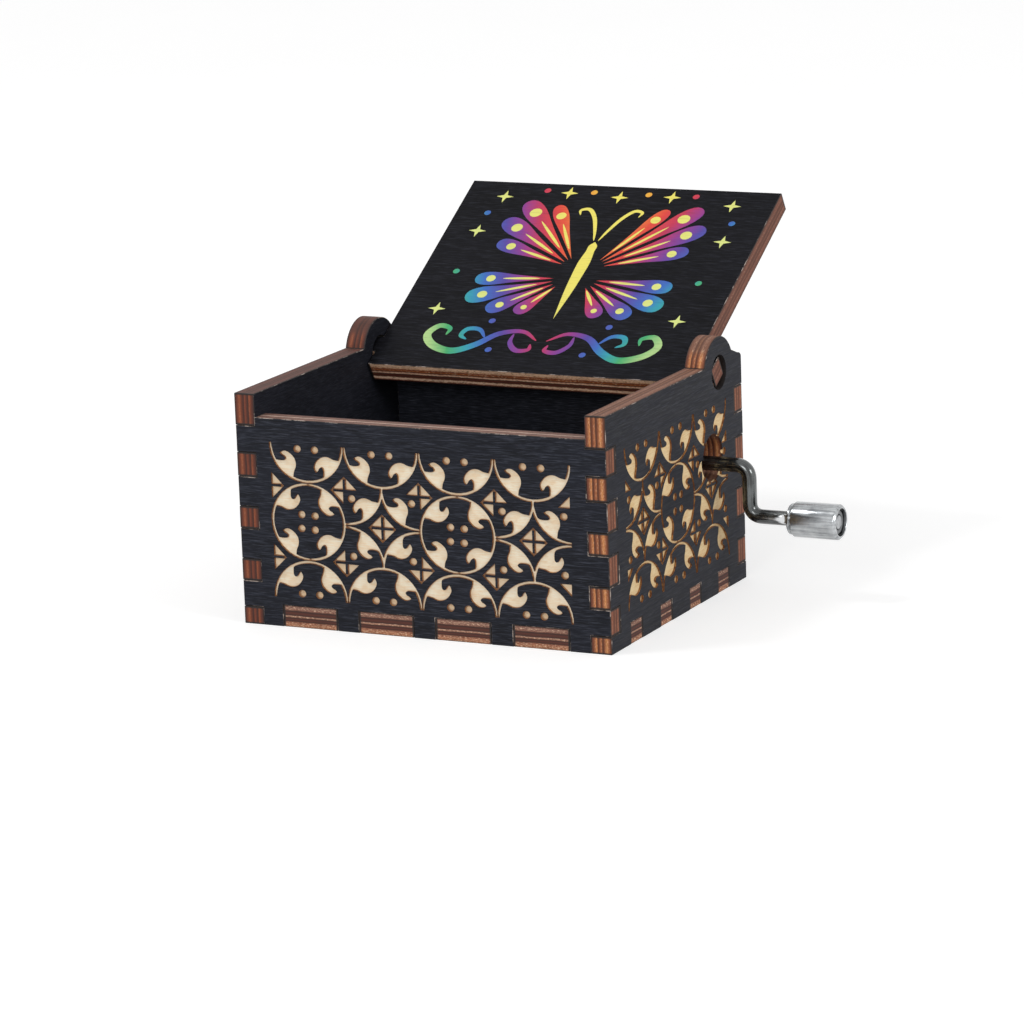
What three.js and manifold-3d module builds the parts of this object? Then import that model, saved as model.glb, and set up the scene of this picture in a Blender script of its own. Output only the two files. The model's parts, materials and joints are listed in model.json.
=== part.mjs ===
// A hand-cranked music box. A finger-jointed plywood box with a hinged lid holds
// a pinned-cylinder movement, which a wire crank drives through a worm.
// Lengths are in millimetres: X to the right, Y to the back, Z up, with the
// origin in the middle of the underside. The lid stands open, leaning back.

import * as THREE from 'three';
import { mergeVertices } from 'three/addons/utils/BufferGeometryUtils.js';
import Module from 'manifold-3d';

const wasm = await Module();
wasm.setup();

// Plywood box
const sheet = 3.5;
const boxWidth = 64;
const boxDepth = 52;
const jointGap = 0.1;
const fingerLevelShares = [0.075, 0.191, 0.283, 0.417, 0.511, 0.643, 0.746, 0.864];
const longTabWidth = 9.5;
const longTabSpace = 3.9;
const shortTabWidth = 4.3;
const shortTabSpace = 6.9;

// Lid, and the ears of the side walls that carry it
const hingeHeight = 35.6;
const hingeFromBack = 9;
const earRadius = 5.75;
const earRearRise = 1.15;
const rearCornerRise = 0.15;
const rearCornerRadius = 1.2;
const lidOpenRise = THREE.MathUtils.degToRad(30);
const lidProud = 0.2;
const lidSideGap = 0.3;
const lidSwingGap = 0.34;
const lidSeatGap = 0.4;
const lidRestGap = 0.3;
const lidFrontSetback = 0.5;
const lidTabRecess = 0.3;
const hingeGap = 0.35;

// Crank and knob
const movementRearShare = 0.31;
const wireDiameter = 2.35;
const wallHoleRadius = 3.85;
const wallHoleRise = 0.9;
const armStandoff = 6.2;
const crankThrow = 8.1;
const bendRadius = 2.3;
const shaftTail = 1.2;
const knobDiameter = 5.7;
const knobLength = 8.75;
const knobStandoff = 13;
const knobBoreGap = 0.15;
const knobNeckRadius = 1.75;
const knobCollarRadius = 2.5;
const knobNeckLength = 0.35;
const knobCollarLength = 0.4;
const knobChamfer = 0.35;
const knobRecessRadius = 2.2;
const knobRecessDepth = 0.9;
const washerRadius = 1.85;
const washerThickness = 0.3;

// Worm and worm wheel
const toothModule = 0.55;
const wheelTeeth = 22;
const wormPitchRadius = 2.35;
const toothHeightShare = 0.8;
const toothCrestShare = 0.2;
const toothPitchShare = 0.36;
const toothRootShare = 0.52;
const meshGap = 0.3;
const threadLength = 9;
const crestPointShares = [-1, -1 / 3, 1 / 3, 1];
const rootPointShares = [-1, -0.6, -0.2, 0.2, 0.6, 1];
const wormCollarRadius = 2.3;
const wheelWidth = 2;
const wheelHubRadius = 3;
const wheelHubFront = 2.4;
const wheelHubRear = 1;

// Cylinder and arbor
const cylinderRight = 9;
const drumRadius = 6.4;
const drumWall = 0.7;
const drumMargin = 0.75;
const pinRadius = 0.22;
const pinSides = 4;
const pinHeight = 0.8;
const pinRoot = 0.35;
const fewestNotes = 3;
const noteCounts = 4;
const noteCountStep = 5;
const noteWanderShare = 0.8;
const trackTurn = 2.4;
const trackPhase = 7.3;
const notePhase = 4.1;
const pinFloorGap = 0.6;
const arborRadius = 1;
const capThickness = 1;
const capHubRadius = 2.2;
const capHubLength = 1.35;
const clipThickness = 0.6;
const clipWidth = 0.9;
const arborTail = 0.5;
const arborHeadRadius = 1.8;
const arborHeadLength = 0.8;

// Comb
const combTeeth = 18;
const combPitch = 1.05;
const combSlot = 0.28;
const combThickness = 1;
const combEdge = 0.6;
const bassToothLength = 12.5;
const trebleToothLength = 8;
const combBackWidth = 8.5;
const combTipGap = 0.3;
const weightCount = 6;
const weightLength = 2.6;
const weightHeight = 1.5;
const weightSetback = 1.6;

// Movement frame
const frameBase = 1.8;
const frameSideMargin = 1.5;
const frameFrontMargin = 0.5;
const combSeatWidth = 8;
const postThickness = 1.5;
const postWidth = 7;
const rearWallThickness = 1.8;
const postRise = 3;
const pillarThickness = 2;
const pillarDepth = 6;
const pillarRise = 2.5;
const wheelSideGap = 0.5;

// Screws and running fits
const fitGap = 0.1;
const runGap = 0.3;
const bearingGap = 0.15;
const combScrewRadius = 1.1;
const combScrewHeadRadius = 2;
const combScrewHeadHeight = 1.3;
const combScrewLength = 5;
const combScrewSpacing = 11;
const combScrewInset = 4;
const baseScrewRadius = 0.95;
const baseScrewHeadRadius = 2.1;
const baseScrewHeadHeight = 1.2;
const baseScrewLength = 5.2;
const baseScrewInset = 2.8;
const counterboreDepth = 1.5;
const bossRadius = 2.3;
const bossHeight = 4.5;
const screwHoleGap = 0.3;
const holeSpareDepth = 0.6;
const slotWidth = 0.5;
const slotDepthShare = 0.5;
const cutOverrun = 1;

// Roundness of curves: sides of a full circle, or segments of an outline's arc
const wireSides = 12;
const drumSides = 48;
const hubSides = 24;
const arcSegments = 10;
const wireSteps = 72;
const threadStepsPerTurn = 10;

// Places that follow from the sizes
const innerX = boxWidth / 2 - sheet;
const innerY = boxDepth / 2 - sheet;
const hingeY = boxDepth / 2 - hingeFromBack;
const sideHeight = hingeHeight + sheet / 2 - lidProud;
const frontHeight = hingeHeight - sheet / 2 - lidSeatGap;
const fingerLevels = fingerLevelShares.map((share) => share * sideHeight);
const wireRadius = wireDiameter / 2;
const knobRadius = knobDiameter / 2;
const wheelPitchRadius = (toothModule * wheelTeeth) / 2;
const threadPitch = Math.PI * toothModule;
const wormCrest = wormPitchRadius + toothModule * toothHeightShare;
const wheelTip = wheelPitchRadius + toothModule * toothHeightShare;
const axleDistance = wheelPitchRadius + wormPitchRadius;
const wormRoot = axleDistance - wheelTip - meshGap;
const wheelRoot = axleDistance - wormCrest - meshGap;
const frameTop = sheet + frameBase;
const pinCircle = drumRadius + pinHeight;
const cylinderHeight = frameTop + pinFloorGap + pinCircle;
const shaftHeight = cylinderHeight + axleDistance;
const combSpan = combTeeth * combPitch;
const drumLength = combSpan + 2 * drumMargin;
const reachToFrame = wheelWidth / 2 + wheelHubRear + runGap;
const reachBehind = reachToFrame + rearWallThickness + runGap + arborHeadLength;
const reachToPost = wheelWidth / 2 + wheelHubFront + drumLength + capHubLength + runGap;
const reachBefore = reachToPost + postThickness + runGap + clipThickness + arborTail;
const freeDepth = 2 * innerY - reachBefore - reachBehind;
const shaftY = innerY - movementRearShare * freeDepth - reachBehind;
const drumRear = shaftY - wheelWidth / 2 - wheelHubFront;
const drumFront = drumRear - drumLength;
const combY = (drumFront + drumRear) / 2;
const combTip = cylinderRight - pinCircle - combTipGap;
const combRear = combTip - bassToothLength - combBackWidth;
const combBottom = cylinderHeight - combThickness / 2;
const pillarInner = wheelTip + wheelSideGap;
const pillarOuter = pillarInner + pillarThickness;
const postRear = shaftY - reachToPost;
const postFront = postRear - postThickness;
const rearWallFront = shaftY + reachToFrame;
const rearWallRear = rearWallFront + rearWallThickness;
const frameFront = postFront - frameFrontMargin;
const frameRight = cylinderRight + pillarOuter + frameSideMargin;
const crankX = boxWidth / 2 + armStandoff;
const knobStart = boxWidth / 2 + knobStandoff;
const wireEnd = knobStart + knobLength - knobChamfer;

function finish(colour, roughness, metalness) {
  return new THREE.MeshStandardMaterial({ color: colour, roughness, metalness });
}

const paintedPly = finish('#26272e', 0.6, 0);
const darkSteel = finish('#55565a', 0.35, 1);
const brightNickel = finish('#c9cacc', 0.2, 1);
const brass = finish('#c49a4a', 0.35, 1);
const castZinc = finish('#8d9094', 0.5, 1);
const combSteel = finish('#a9adb2', 0.3, 1);
const screwSteel = finish('#b9bbbe', 0.3, 1);
const wheelNylon = finish('#e6e2d6', 0.5, 0);

function named(name, geometry, material) {
  const mesh = new THREE.Mesh(geometry, material);
  mesh.name = name;
  return mesh;
}

// A closed geometry as a solid that can be joined and cut, and back again
function toSolid(geometry) {
  const bare = geometry.clone();
  bare.deleteAttribute('normal');
  bare.deleteAttribute('uv');
  const merged = mergeVertices(bare);
  return new wasm.Manifold(
    new wasm.Mesh({
      numProp: 3,
      vertProperties: new Float32Array(merged.attributes.position.array),
      triVerts: new Uint32Array(merged.index.array),
    })
  );
}

function toGeometry(solid) {
  const mesh = solid.getMesh();
  const geometry = new THREE.BufferGeometry();
  geometry.setAttribute('position', new THREE.BufferAttribute(mesh.vertProperties, 3));
  geometry.setIndex(new THREE.BufferAttribute(mesh.triVerts, 1));
  geometry.computeVertexNormals();
  return geometry;
}

function block([x0, y0, z0], [x1, y1, z1]) {
  const geometry = new THREE.BoxGeometry(x1 - x0, y1 - y0, z1 - z0);
  geometry.translate((x0 + x1) / 2, (y0 + y1) / 2, (z0 + z1) / 2);
  return toSolid(geometry);
}

function bar(radius, from, to, sides) {
  const start = new THREE.Vector3(...from);
  const span = new THREE.Vector3(...to).sub(start);
  const geometry = new THREE.CylinderGeometry(radius, radius, span.length(), sides);
  const turn = new THREE.Quaternion().setFromUnitVectors(
    new THREE.Vector3(0, 1, 0),
    span.clone().normalize()
  );
  geometry.applyQuaternion(turn);
  const middle = start.addScaledVector(span, 0.5);
  geometry.translate(middle.x, middle.y, middle.z);
  return toSolid(geometry);
}

// A solid of revolution about Y from a closed profile of [radius, height] points
function turned(profile, sides) {
  const points = profile.map(([radius, height]) => new THREE.Vector2(radius, height));
  return new THREE.LatheGeometry([...points, points[0]], sides);
}

function ring(inner, outer, low, high, sides) {
  return turned([[inner, low], [outer, low], [outer, high], [inner, high]], sides);
}

function extruded(shape, depth) {
  return new THREE.ExtrudeGeometry(shape, {
    depth,
    steps: 1,
    bevelEnabled: false,
    curveSegments: arcSegments,
  });
}

function outlineOf(points) {
  return new THREE.Shape(points.map(([x, y]) => new THREE.Vector2(x, y)));
}

function roundHole(x, y, radius) {
  return new THREE.Path().absarc(x, y, radius, 0, 2 * Math.PI, true);
}

// Each pair of levels is a finger of the front and back panels, a notch in the sides
function fingerRanges(gap) {
  const ranges = [];
  for (let i = 0; i < fingerLevels.length; i += 2) {
    ranges.push([fingerLevels[i] + gap, fingerLevels[i + 1] - gap]);
  }
  return ranges;
}

// An upright edge at base that steps out or in to reach over each range
function steppedEdge(base, reach, ranges, top) {
  const points = [[base, 0]];
  for (const [low, high] of ranges) {
    points.push([base, low], [reach, low], [reach, high], [base, high]);
  }
  points.push([base, top]);
  return points;
}

// The tabs of the bottom panel along a wall, as many as its length holds, each as
// a span that is widened by gap on each side
function tabSpans(length, width, space, gap) {
  const spans = [];
  const pitch = width + space;
  const count = Math.floor((length + space) / pitch);
  for (let i = 0; i < count; i += 1) {
    const middle = (i - (count - 1) / 2) * pitch;
    spans.push([middle - width / 2 - gap, middle + width / 2 + gap]);
  }
  return spans;
}

// A wall's lower edge from left to right, open over each tab
function notchedFoot(length, width, space) {
  const points = [];
  for (const [left, right] of tabSpans(length, width, space, jointGap)) {
    points.push([left, 0], [left, sheet], [right, sheet], [right, 0]);
  }
  return points;
}

function mirrored(points) {
  return points.map(([x, y]) => [-x, y]).reverse();
}

// Front and back panels, drawn upright with X across
function makeEndPanel(height) {
  const right = steppedEdge(innerX, boxWidth / 2, fingerRanges(jointGap), height);
  const foot = notchedFoot(2 * innerX, longTabWidth, longTabSpace);
  return extruded(outlineOf([...foot, ...right, ...mirrored(right)]), sheet);
}

// Where the open lid's outer face passes the back panel's inner face
function backHeight() {
  const reach = (innerY - hingeY) * Math.tan(lidOpenRise);
  return hingeHeight + reach - (sheet / 2 + lidRestGap) / Math.cos(lidOpenRise);
}

function hingeHoleRadius() {
  return Math.hypot(sheet, sheet) / 2 + hingeGap;
}

// Side walls, drawn with the box's depth across: stepped edges, a round ear over
// the hinge hole, and a top edge that falls from the ear to a rounded rear corner
function makeSidePanel(withCrankHole) {
  const rearTop = sideHeight + rearCornerRise;
  const earFoot = sideHeight + earRearRise;
  const frontAngle = Math.PI - Math.asin((sideHeight - hingeHeight) / earRadius);
  const rearAngle = Math.asin((earFoot - hingeHeight) / earRadius);
  const front = steppedEdge(boxDepth / 2, innerY, fingerRanges(0), sideHeight);
  const rear = steppedEdge(boxDepth / 2, innerY, fingerRanges(0), rearTop - rearCornerRadius);
  const foot = notchedFoot(2 * innerY, shortTabWidth, shortTabSpace);
  const shape = new THREE.Shape();
  const start = [...foot, ...rear];
  shape.moveTo(...start[0]);
  for (const point of start.slice(1)) {
    shape.lineTo(...point);
  }
  shape.quadraticCurveTo(boxDepth / 2, rearTop, boxDepth / 2 - rearCornerRadius, rearTop);
  shape.absarc(hingeY, hingeHeight, earRadius, rearAngle, frontAngle, false);
  for (const point of mirrored(front)) {
    shape.lineTo(...point);
  }
  shape.holes.push(roundHole(hingeY, hingeHeight, hingeHoleRadius()));
  if (withCrankHole) {
    shape.holes.push(roundHole(shaftY, shaftHeight + wallHoleRise, wallHoleRadius));
  }
  return extruded(shape, sheet);
}

// The lid, drawn about its hinge line with its front edge towards +Y
function makeLid() {
  const half = innerX - lidSideGap;
  const front = hingeY + boxDepth / 2 - lidFrontSetback;
  const rear = Math.sqrt((innerY - hingeY - lidSwingGap) ** 2 - (sheet / 2) ** 2);
  const tabEnd = boxWidth / 2 - lidTabRecess;
  const right = [
    [half, -rear],
    [half, -sheet / 2],
    [tabEnd, -sheet / 2],
    [tabEnd, sheet / 2],
    [half, sheet / 2],
    [half, front],
  ];
  return extruded(outlineOf([...right, ...mirrored(right)]), sheet);
}

function baseScrewPlaces() {
  const left = combRear + baseScrewInset;
  const right = frameRight - baseScrewInset;
  const front = frameFront + baseScrewInset;
  const rear = rearWallRear - baseScrewInset;
  return [[left, front], [right, front], [left, rear], [right, rear]];
}

// The bottom panel with its tabs, and a counterbored hole for each movement screw
function makeBottomPanel() {
  const points = [];
  for (const [low, high] of tabSpans(2 * innerX, longTabWidth, longTabSpace, 0)) {
    points.push([low, -innerY], [low, -boxDepth / 2], [high, -boxDepth / 2], [high, -innerY]);
  }
  points.push([innerX, -innerY]);
  for (const [low, high] of tabSpans(2 * innerY, shortTabWidth, shortTabSpace, 0)) {
    points.push([innerX, low], [boxWidth / 2, low], [boxWidth / 2, high], [innerX, high]);
  }
  points.push([innerX, innerY]);
  const rest = points.map(([x, y]) => [-x, -y]);
  let panel = toSolid(extruded(outlineOf([...points, ...rest]), sheet));
  const head = baseScrewHeadRadius + screwHoleGap;
  const shank = baseScrewRadius + screwHoleGap;
  for (const [x, y] of baseScrewPlaces()) {
    panel = panel.subtract(bar(head, [x, y, -cutOverrun], [x, y, counterboreDepth], hubSides));
    panel = panel.subtract(bar(shank, [x, y, 0], [x, y, sheet + cutOverrun], wireSides));
  }
  return toGeometry(panel);
}

// The die-cast frame: a base plate, the comb's seat, a front post and a rear wall
// for the arbor, two pillars for the crank shaft, and four screw bosses
function makeMovementFrame() {
  const seatTop = combBottom;
  const seatHalf = combSpan / 2 + combEdge;
  const pillarTop = shaftHeight + pillarRise;
  const postTop = cylinderHeight + postRise;
  let frame = block([combRear, frameFront, sheet], [frameRight, rearWallRear, frameTop]);
  frame = frame.add(
    block([combRear, combY - seatHalf, sheet], [combRear + combSeatWidth, combY + seatHalf, seatTop])
  );
  frame = frame.add(
    block(
      [cylinderRight - postWidth / 2, postFront, sheet],
      [cylinderRight + postWidth / 2, postRear, postTop]
    )
  );
  frame = frame.add(
    block(
      [cylinderRight - pillarOuter, rearWallFront, sheet],
      [cylinderRight + pillarOuter, rearWallRear, postTop]
    )
  );
  for (const side of [-1, 1]) {
    const edges = [cylinderRight + side * pillarInner, cylinderRight + side * pillarOuter];
    frame = frame.add(
      block(
        [Math.min(...edges), rearWallRear - pillarDepth, sheet],
        [Math.max(...edges), rearWallRear, pillarTop]
      )
    );
  }
  for (const [x, y] of baseScrewPlaces()) {
    frame = frame.add(bar(bossRadius, [x, y, sheet], [x, y, sheet + bossHeight], hubSides));
  }
  const screwHole = baseScrewRadius + screwHoleGap;
  const screwDepth = counterboreDepth + baseScrewLength + holeSpareDepth;
  for (const [x, y] of baseScrewPlaces()) {
    frame = frame.subtract(bar(screwHole, [x, y, 0], [x, y, screwDepth], wireSides));
  }
  const combHole = combScrewRadius + screwHoleGap;
  const combDepth = seatTop + combThickness - combScrewLength - holeSpareDepth;
  for (const [x, y] of combScrewPlaces()) {
    frame = frame.subtract(bar(combHole, [x, y, combDepth], [x, y, seatTop + cutOverrun], wireSides));
  }
  const arborFrom = [cylinderRight, postFront - cutOverrun, cylinderHeight];
  const arborTo = [cylinderRight, rearWallRear + cutOverrun, cylinderHeight];
  frame = frame.subtract(bar(arborRadius + bearingGap, arborFrom, arborTo, wireSides));
  const shaftFrom = [cylinderRight - pillarOuter - cutOverrun, shaftY, shaftHeight];
  const shaftTo = [cylinderRight + pillarOuter + cutOverrun, shaftY, shaftHeight];
  return toGeometry(frame.subtract(bar(wireRadius + bearingGap, shaftFrom, shaftTo, wireSides)));
}

// The thin drum with its pins, about Y and from its front end. Each comb tooth has
// its own track of a few pins, spread unevenly round the drum as a tune's notes are
function makeCylinder() {
  let drum = toSolid(ring(drumRadius - drumWall, drumRadius, 0, drumLength, drumSides));
  const pins = [];
  for (let track = 0; track < combTeeth; track += 1) {
    const along = drumMargin + (track + 0.5) * combPitch;
    const notes = fewestNotes + ((track * noteCountStep) % noteCounts);
    for (let note = 0; note < notes; note += 1) {
      const wander = (1 + Math.sin(track * trackPhase + note * notePhase)) / 2;
      const place = (note + noteWanderShare * wander) / notes;
      const angle = 2 * Math.PI * place + track * trackTurn;
      const out = [Math.cos(angle), Math.sin(angle)];
      const from = [out[0] * (drumRadius - pinRoot), along, out[1] * (drumRadius - pinRoot)];
      const to = [out[0] * pinCircle, along, out[1] * pinCircle];
      pins.push(bar(pinRadius, from, to, pinSides));
    }
  }
  for (const pin of pins) {
    drum = drum.add(pin);
  }
  return toGeometry(drum);
}

function makeFrontCap() {
  const bore = arborRadius + fitGap;
  const edge = drumRadius - drumWall - fitGap;
  return turned(
    [
      [bore, -capHubLength],
      [capHubRadius, -capHubLength],
      [capHubRadius, 0],
      [edge, 0],
      [edge, capThickness],
      [bore, capThickness],
    ],
    hubSides
  );
}

function makeRearCap() {
  const edge = drumRadius - drumWall - fitGap;
  return ring(arborRadius + fitGap, edge, -capThickness, 0, hubSides);
}

// The arbor, about Y: a plain pin with a head behind the frame's rear wall
function makeArbor() {
  const front = postFront - runGap - clipThickness - arborTail;
  const headFront = rearWallRear + runGap;
  const headRear = headFront + arborHeadLength;
  return turned(
    [
      [0, front],
      [arborRadius, front],
      [arborRadius, headFront],
      [arborHeadRadius, headFront],
      [arborHeadRadius, headRear],
      [0, headRear],
    ],
    wireSides
  );
}

// One gear tooth or thread in a section: half widths at crest, pitch and root
function flankHalves(pitch) {
  return [toothCrestShare, toothPitchShare, toothRootShare].map((share) => (share * pitch) / 2);
}

function twist(geometry, turnPerLength, middle) {
  const places = geometry.attributes.position;
  for (let i = 0; i < places.count; i += 1) {
    const angle = turnPerLength * (places.getZ(i) - middle);
    const x = places.getX(i);
    const y = places.getY(i);
    places.setX(i, x * Math.cos(angle) - y * Math.sin(angle));
    places.setY(i, x * Math.sin(angle) + y * Math.cos(angle));
  }
  return geometry;
}

// The wheel's teeth lean to follow the worm's thread
function makeWormWheel() {
  const [crest, middle, root] = flankHalves(threadPitch);
  const points = [];
  for (let tooth = 0; tooth < wheelTeeth; tooth += 1) {
    const centre = Math.PI / 2 + (2 * Math.PI * tooth) / wheelTeeth;
    const profile = [[-root, wheelRoot], [-middle, wheelPitchRadius], [-crest, wheelTip]];
    const full = [...profile, ...profile.map(([half, radius]) => [-half, radius]).reverse()];
    for (const [half, radius] of full) {
      const angle = centre + half / radius;
      points.push([radius * Math.cos(angle), radius * Math.sin(angle)]);
    }
  }
  const lean = threadPitch / (2 * Math.PI * wormPitchRadius) / wheelPitchRadius;
  const teeth = twist(extruded(outlineOf(points), wheelWidth), lean, wheelWidth / 2);
  const hub = bar(wheelHubRadius, [0, 0, -wheelHubRear], [0, 0, wheelWidth + wheelHubFront], hubSides);
  const bore = bar(
    arborRadius + fitGap,
    [0, 0, -wheelHubRear - cutOverrun],
    [0, 0, wheelWidth + wheelHubFront + cutOverrun],
    wireSides
  );
  return toGeometry(toSolid(teeth).add(hub).subtract(bore));
}

// The worm: a single thread as a twisted section, between two plain collars
function makeWorm() {
  const turnPerLength = (2 * Math.PI) / threadPitch;
  const [crest, middle, root] = flankHalves(threadPitch).map((half) => half * turnPerLength);
  const points = [];
  for (const share of crestPointShares) {
    points.push([wormCrest, Math.PI + share * crest]);
  }
  points.push([wormPitchRadius, Math.PI + middle]);
  for (const share of rootPointShares) {
    points.push([wormRoot, share * (Math.PI - root)]);
  }
  points.push([wormPitchRadius, Math.PI - middle]);
  const shape = outlineOf(points.map(([r, angle]) => [r * Math.cos(angle), r * Math.sin(angle)]));
  const thread = new THREE.ExtrudeGeometry(shape, {
    depth: threadLength,
    steps: Math.round((threadStepsPerTurn * threadLength) / threadPitch),
    bevelEnabled: false,
  });
  twist(thread, turnPerLength, threadLength / 2);
  thread.translate(0, 0, -threadLength / 2);
  const end = pillarInner - runGap;
  let worm = toSolid(thread);
  for (const side of [-1, 1]) {
    const inner = side * (threadLength / 2 - fitGap);
    worm = worm.add(bar(wormCollarRadius, [0, 0, inner], [0, 0, side * end], hubSides));
  }
  const reach = end + cutOverrun;
  return toGeometry(worm.subtract(bar(wireRadius + fitGap, [0, 0, -reach], [0, 0, reach], wireSides)));
}

// The bent wire: shaft, arm hanging down, and the pin that carries the knob
function makeCrank() {
  const tail = cylinderRight - pillarOuter - runGap - clipThickness - shaftTail;
  const top = shaftHeight;
  const low = shaftHeight - crankThrow;
  const at = (x, z) => new THREE.Vector3(x, shaftY, z);
  const path = new THREE.CurvePath();
  path.add(new THREE.LineCurve3(at(tail, top), at(crankX - bendRadius, top)));
  path.add(
    new THREE.QuadraticBezierCurve3(
      at(crankX - bendRadius, top),
      at(crankX, top),
      at(crankX, top - bendRadius)
    )
  );
  path.add(new THREE.LineCurve3(at(crankX, top - bendRadius), at(crankX, low + bendRadius)));
  path.add(
    new THREE.QuadraticBezierCurve3(
      at(crankX, low + bendRadius),
      at(crankX, low),
      at(crankX + bendRadius, low)
    )
  );
  path.add(new THREE.LineCurve3(at(crankX + bendRadius, low), at(wireEnd, low)));
  const section = new THREE.Shape().absarc(0, 0, wireRadius, 0, 2 * Math.PI, false);
  return new THREE.ExtrudeGeometry(section, {
    steps: wireSteps,
    extrudePath: path,
    curveSegments: wireSides / 2,
  });
}

// The turned knob: a coned neck, a collar, a plain barrel and a recess at its end
function makeKnob() {
  const bore = wireRadius + knobBoreGap;
  const neck = knobNeckLength;
  const collar = neck + knobCollarLength;
  const shoulder = collar + knobChamfer;
  return turned(
    [
      [bore, 0],
      [knobNeckRadius, 0],
      [knobCollarRadius, neck],
      [knobCollarRadius, collar],
      [knobRadius, shoulder],
      [knobRadius, knobLength - knobChamfer],
      [knobRadius - knobChamfer, knobLength],
      [knobRecessRadius, knobLength],
      [knobRecessRadius, knobLength - knobRecessDepth],
      [bore, knobLength - knobRecessDepth],
    ],
    hubSides
  );
}

// The comb, drawn from above: a plate whose teeth shorten from bass to treble
function makeComb() {
  const half = combSpan / 2;
  const rootAt = (y) => {
    const length = THREE.MathUtils.lerp(bassToothLength, trebleToothLength, (y + half) / combSpan);
    return combTip - length;
  };
  const points = [[combRear, -half - combEdge], [rootAt(-half), -half - combEdge]];
  const teeth = [];
  for (let tooth = 0; tooth < combTeeth; tooth += 1) {
    const low = -half + tooth * combPitch + combSlot / 2;
    const high = low + combPitch - combSlot;
    points.push([rootAt(low), low], [combTip, low], [combTip, high], [rootAt(high), high]);
    teeth.push([low, high]);
  }
  points.push([rootAt(half), half + combEdge], [combRear, half + combEdge]);
  let comb = toSolid(extruded(outlineOf(points), combThickness));
  for (const [low, high] of teeth.slice(0, weightCount)) {
    const end = combTip - weightSetback;
    comb = comb.add(block([end - weightLength, low, -weightHeight], [end, high, combThickness / 2]));
  }
  for (const [x, y] of combScrewPlaces()) {
    const hole = combScrewRadius + screwHoleGap;
    const low = [x, y - combY, -cutOverrun];
    comb = comb.subtract(bar(hole, low, [x, y - combY, combThickness + cutOverrun], wireSides));
  }
  return toGeometry(comb);
}

function combScrewPlaces() {
  const x = combRear + combScrewInset;
  return [-1, 1].map((side) => [x, combY + (side * combScrewSpacing) / 2]);
}

// A slotted screw, about Y, with its head's underside at zero
function makeScrew(headRadius, headHeight, radius, length) {
  const body = turned(
    [
      [0, -length],
      [radius, -length],
      [radius, 0],
      [headRadius, 0],
      [headRadius, headHeight],
      [0, headHeight],
    ],
    hubSides
  );
  const depth = headHeight * slotDepthShare;
  const slot = block(
    [-headRadius - cutOverrun, headHeight - depth, -slotWidth / 2],
    [headRadius + cutOverrun, headHeight + cutOverrun, slotWidth / 2]
  );
  return toGeometry(toSolid(body).subtract(slot));
}

// The box: each wall is drawn flat, then stood up and moved to its place
function assembleBox() {
  const box = new THREE.Group();
  const front = named('front_panel', makeEndPanel(frontHeight), paintedPly);
  front.rotation.x = Math.PI / 2;
  front.position.y = -innerY;
  const back = named('back_panel', makeEndPanel(backHeight()), paintedPly);
  back.rotation.x = Math.PI / 2;
  back.position.y = boxDepth / 2;
  box.add(front, back);
  const walls = [
    ['left_side_panel', false, -boxWidth / 2],
    ['right_side_panel', true, innerX],
  ];
  for (const [name, withCrankHole, x] of walls) {
    const wall = named(name, makeSidePanel(withCrankHole), paintedPly);
    wall.rotation.x = Math.PI / 2;
    const turnedWall = new THREE.Group();
    turnedWall.rotation.z = Math.PI / 2;
    turnedWall.position.x = x;
    turnedWall.add(wall);
    box.add(turnedWall);
  }
  box.add(named('bottom_panel', makeBottomPanel(), paintedPly));
  const hinge = new THREE.Group();
  hinge.position.set(0, hingeY, hingeHeight);
  hinge.rotation.x = lidOpenRise;
  const lid = named('lid', makeLid(), paintedPly);
  lid.position.z = -sheet / 2;
  hinge.add(lid);
  box.add(hinge);
  return box;
}

function assembleCylinder() {
  const group = new THREE.Group();
  group.position.set(cylinderRight, 0, cylinderHeight);
  const drum = named('cylinder', makeCylinder(), brass);
  drum.position.y = drumFront;
  const frontCap = named('cylinder_front_cap', makeFrontCap(), brass);
  frontCap.position.y = drumFront;
  const rearCap = named('cylinder_rear_cap', makeRearCap(), brass);
  rearCap.position.y = drumRear - runGap;
  const wheel = named('worm_wheel', makeWormWheel(), wheelNylon);
  wheel.rotation.x = Math.PI / 2;
  wheel.position.y = shaftY + wheelWidth / 2;
  const bore = arborRadius + fitGap;
  const clip = named('arbor_clip', ring(bore, bore + clipWidth, 0, clipThickness, hubSides), screwSteel);
  clip.position.y = postFront - runGap - clipThickness;
  group.add(drum, frontCap, rearCap, wheel, clip);
  group.add(named('cylinder_arbor', makeArbor(), darkSteel));
  return group;
}

function assembleCrank() {
  const group = new THREE.Group();
  group.add(named('crank', makeCrank(), darkSteel));
  const worm = named('worm', makeWorm(), brass);
  worm.rotation.y = Math.PI / 2;
  worm.position.set(cylinderRight, shaftY, shaftHeight);
  const bore = wireRadius + fitGap;
  const clip = named('crank_clip', ring(bore, bore + clipWidth, 0, clipThickness, hubSides), screwSteel);
  clip.rotation.z = -Math.PI / 2;
  clip.position.set(cylinderRight - pillarOuter - runGap - clipThickness, shaftY, shaftHeight);
  const knob = named('crank_knob', makeKnob(), brightNickel);
  knob.rotation.z = -Math.PI / 2;
  knob.position.set(knobStart, shaftY, shaftHeight - crankThrow);
  const disc = ring(bore, washerRadius, 0, washerThickness, hubSides);
  const washer = named('knob_washer', disc, brightNickel);
  washer.rotation.z = -Math.PI / 2;
  washer.position.set(
    knobStart + knobLength - knobRecessDepth + knobBoreGap,
    shaftY,
    shaftHeight - crankThrow
  );
  group.add(worm, clip, knob, washer);
  return group;
}

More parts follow.
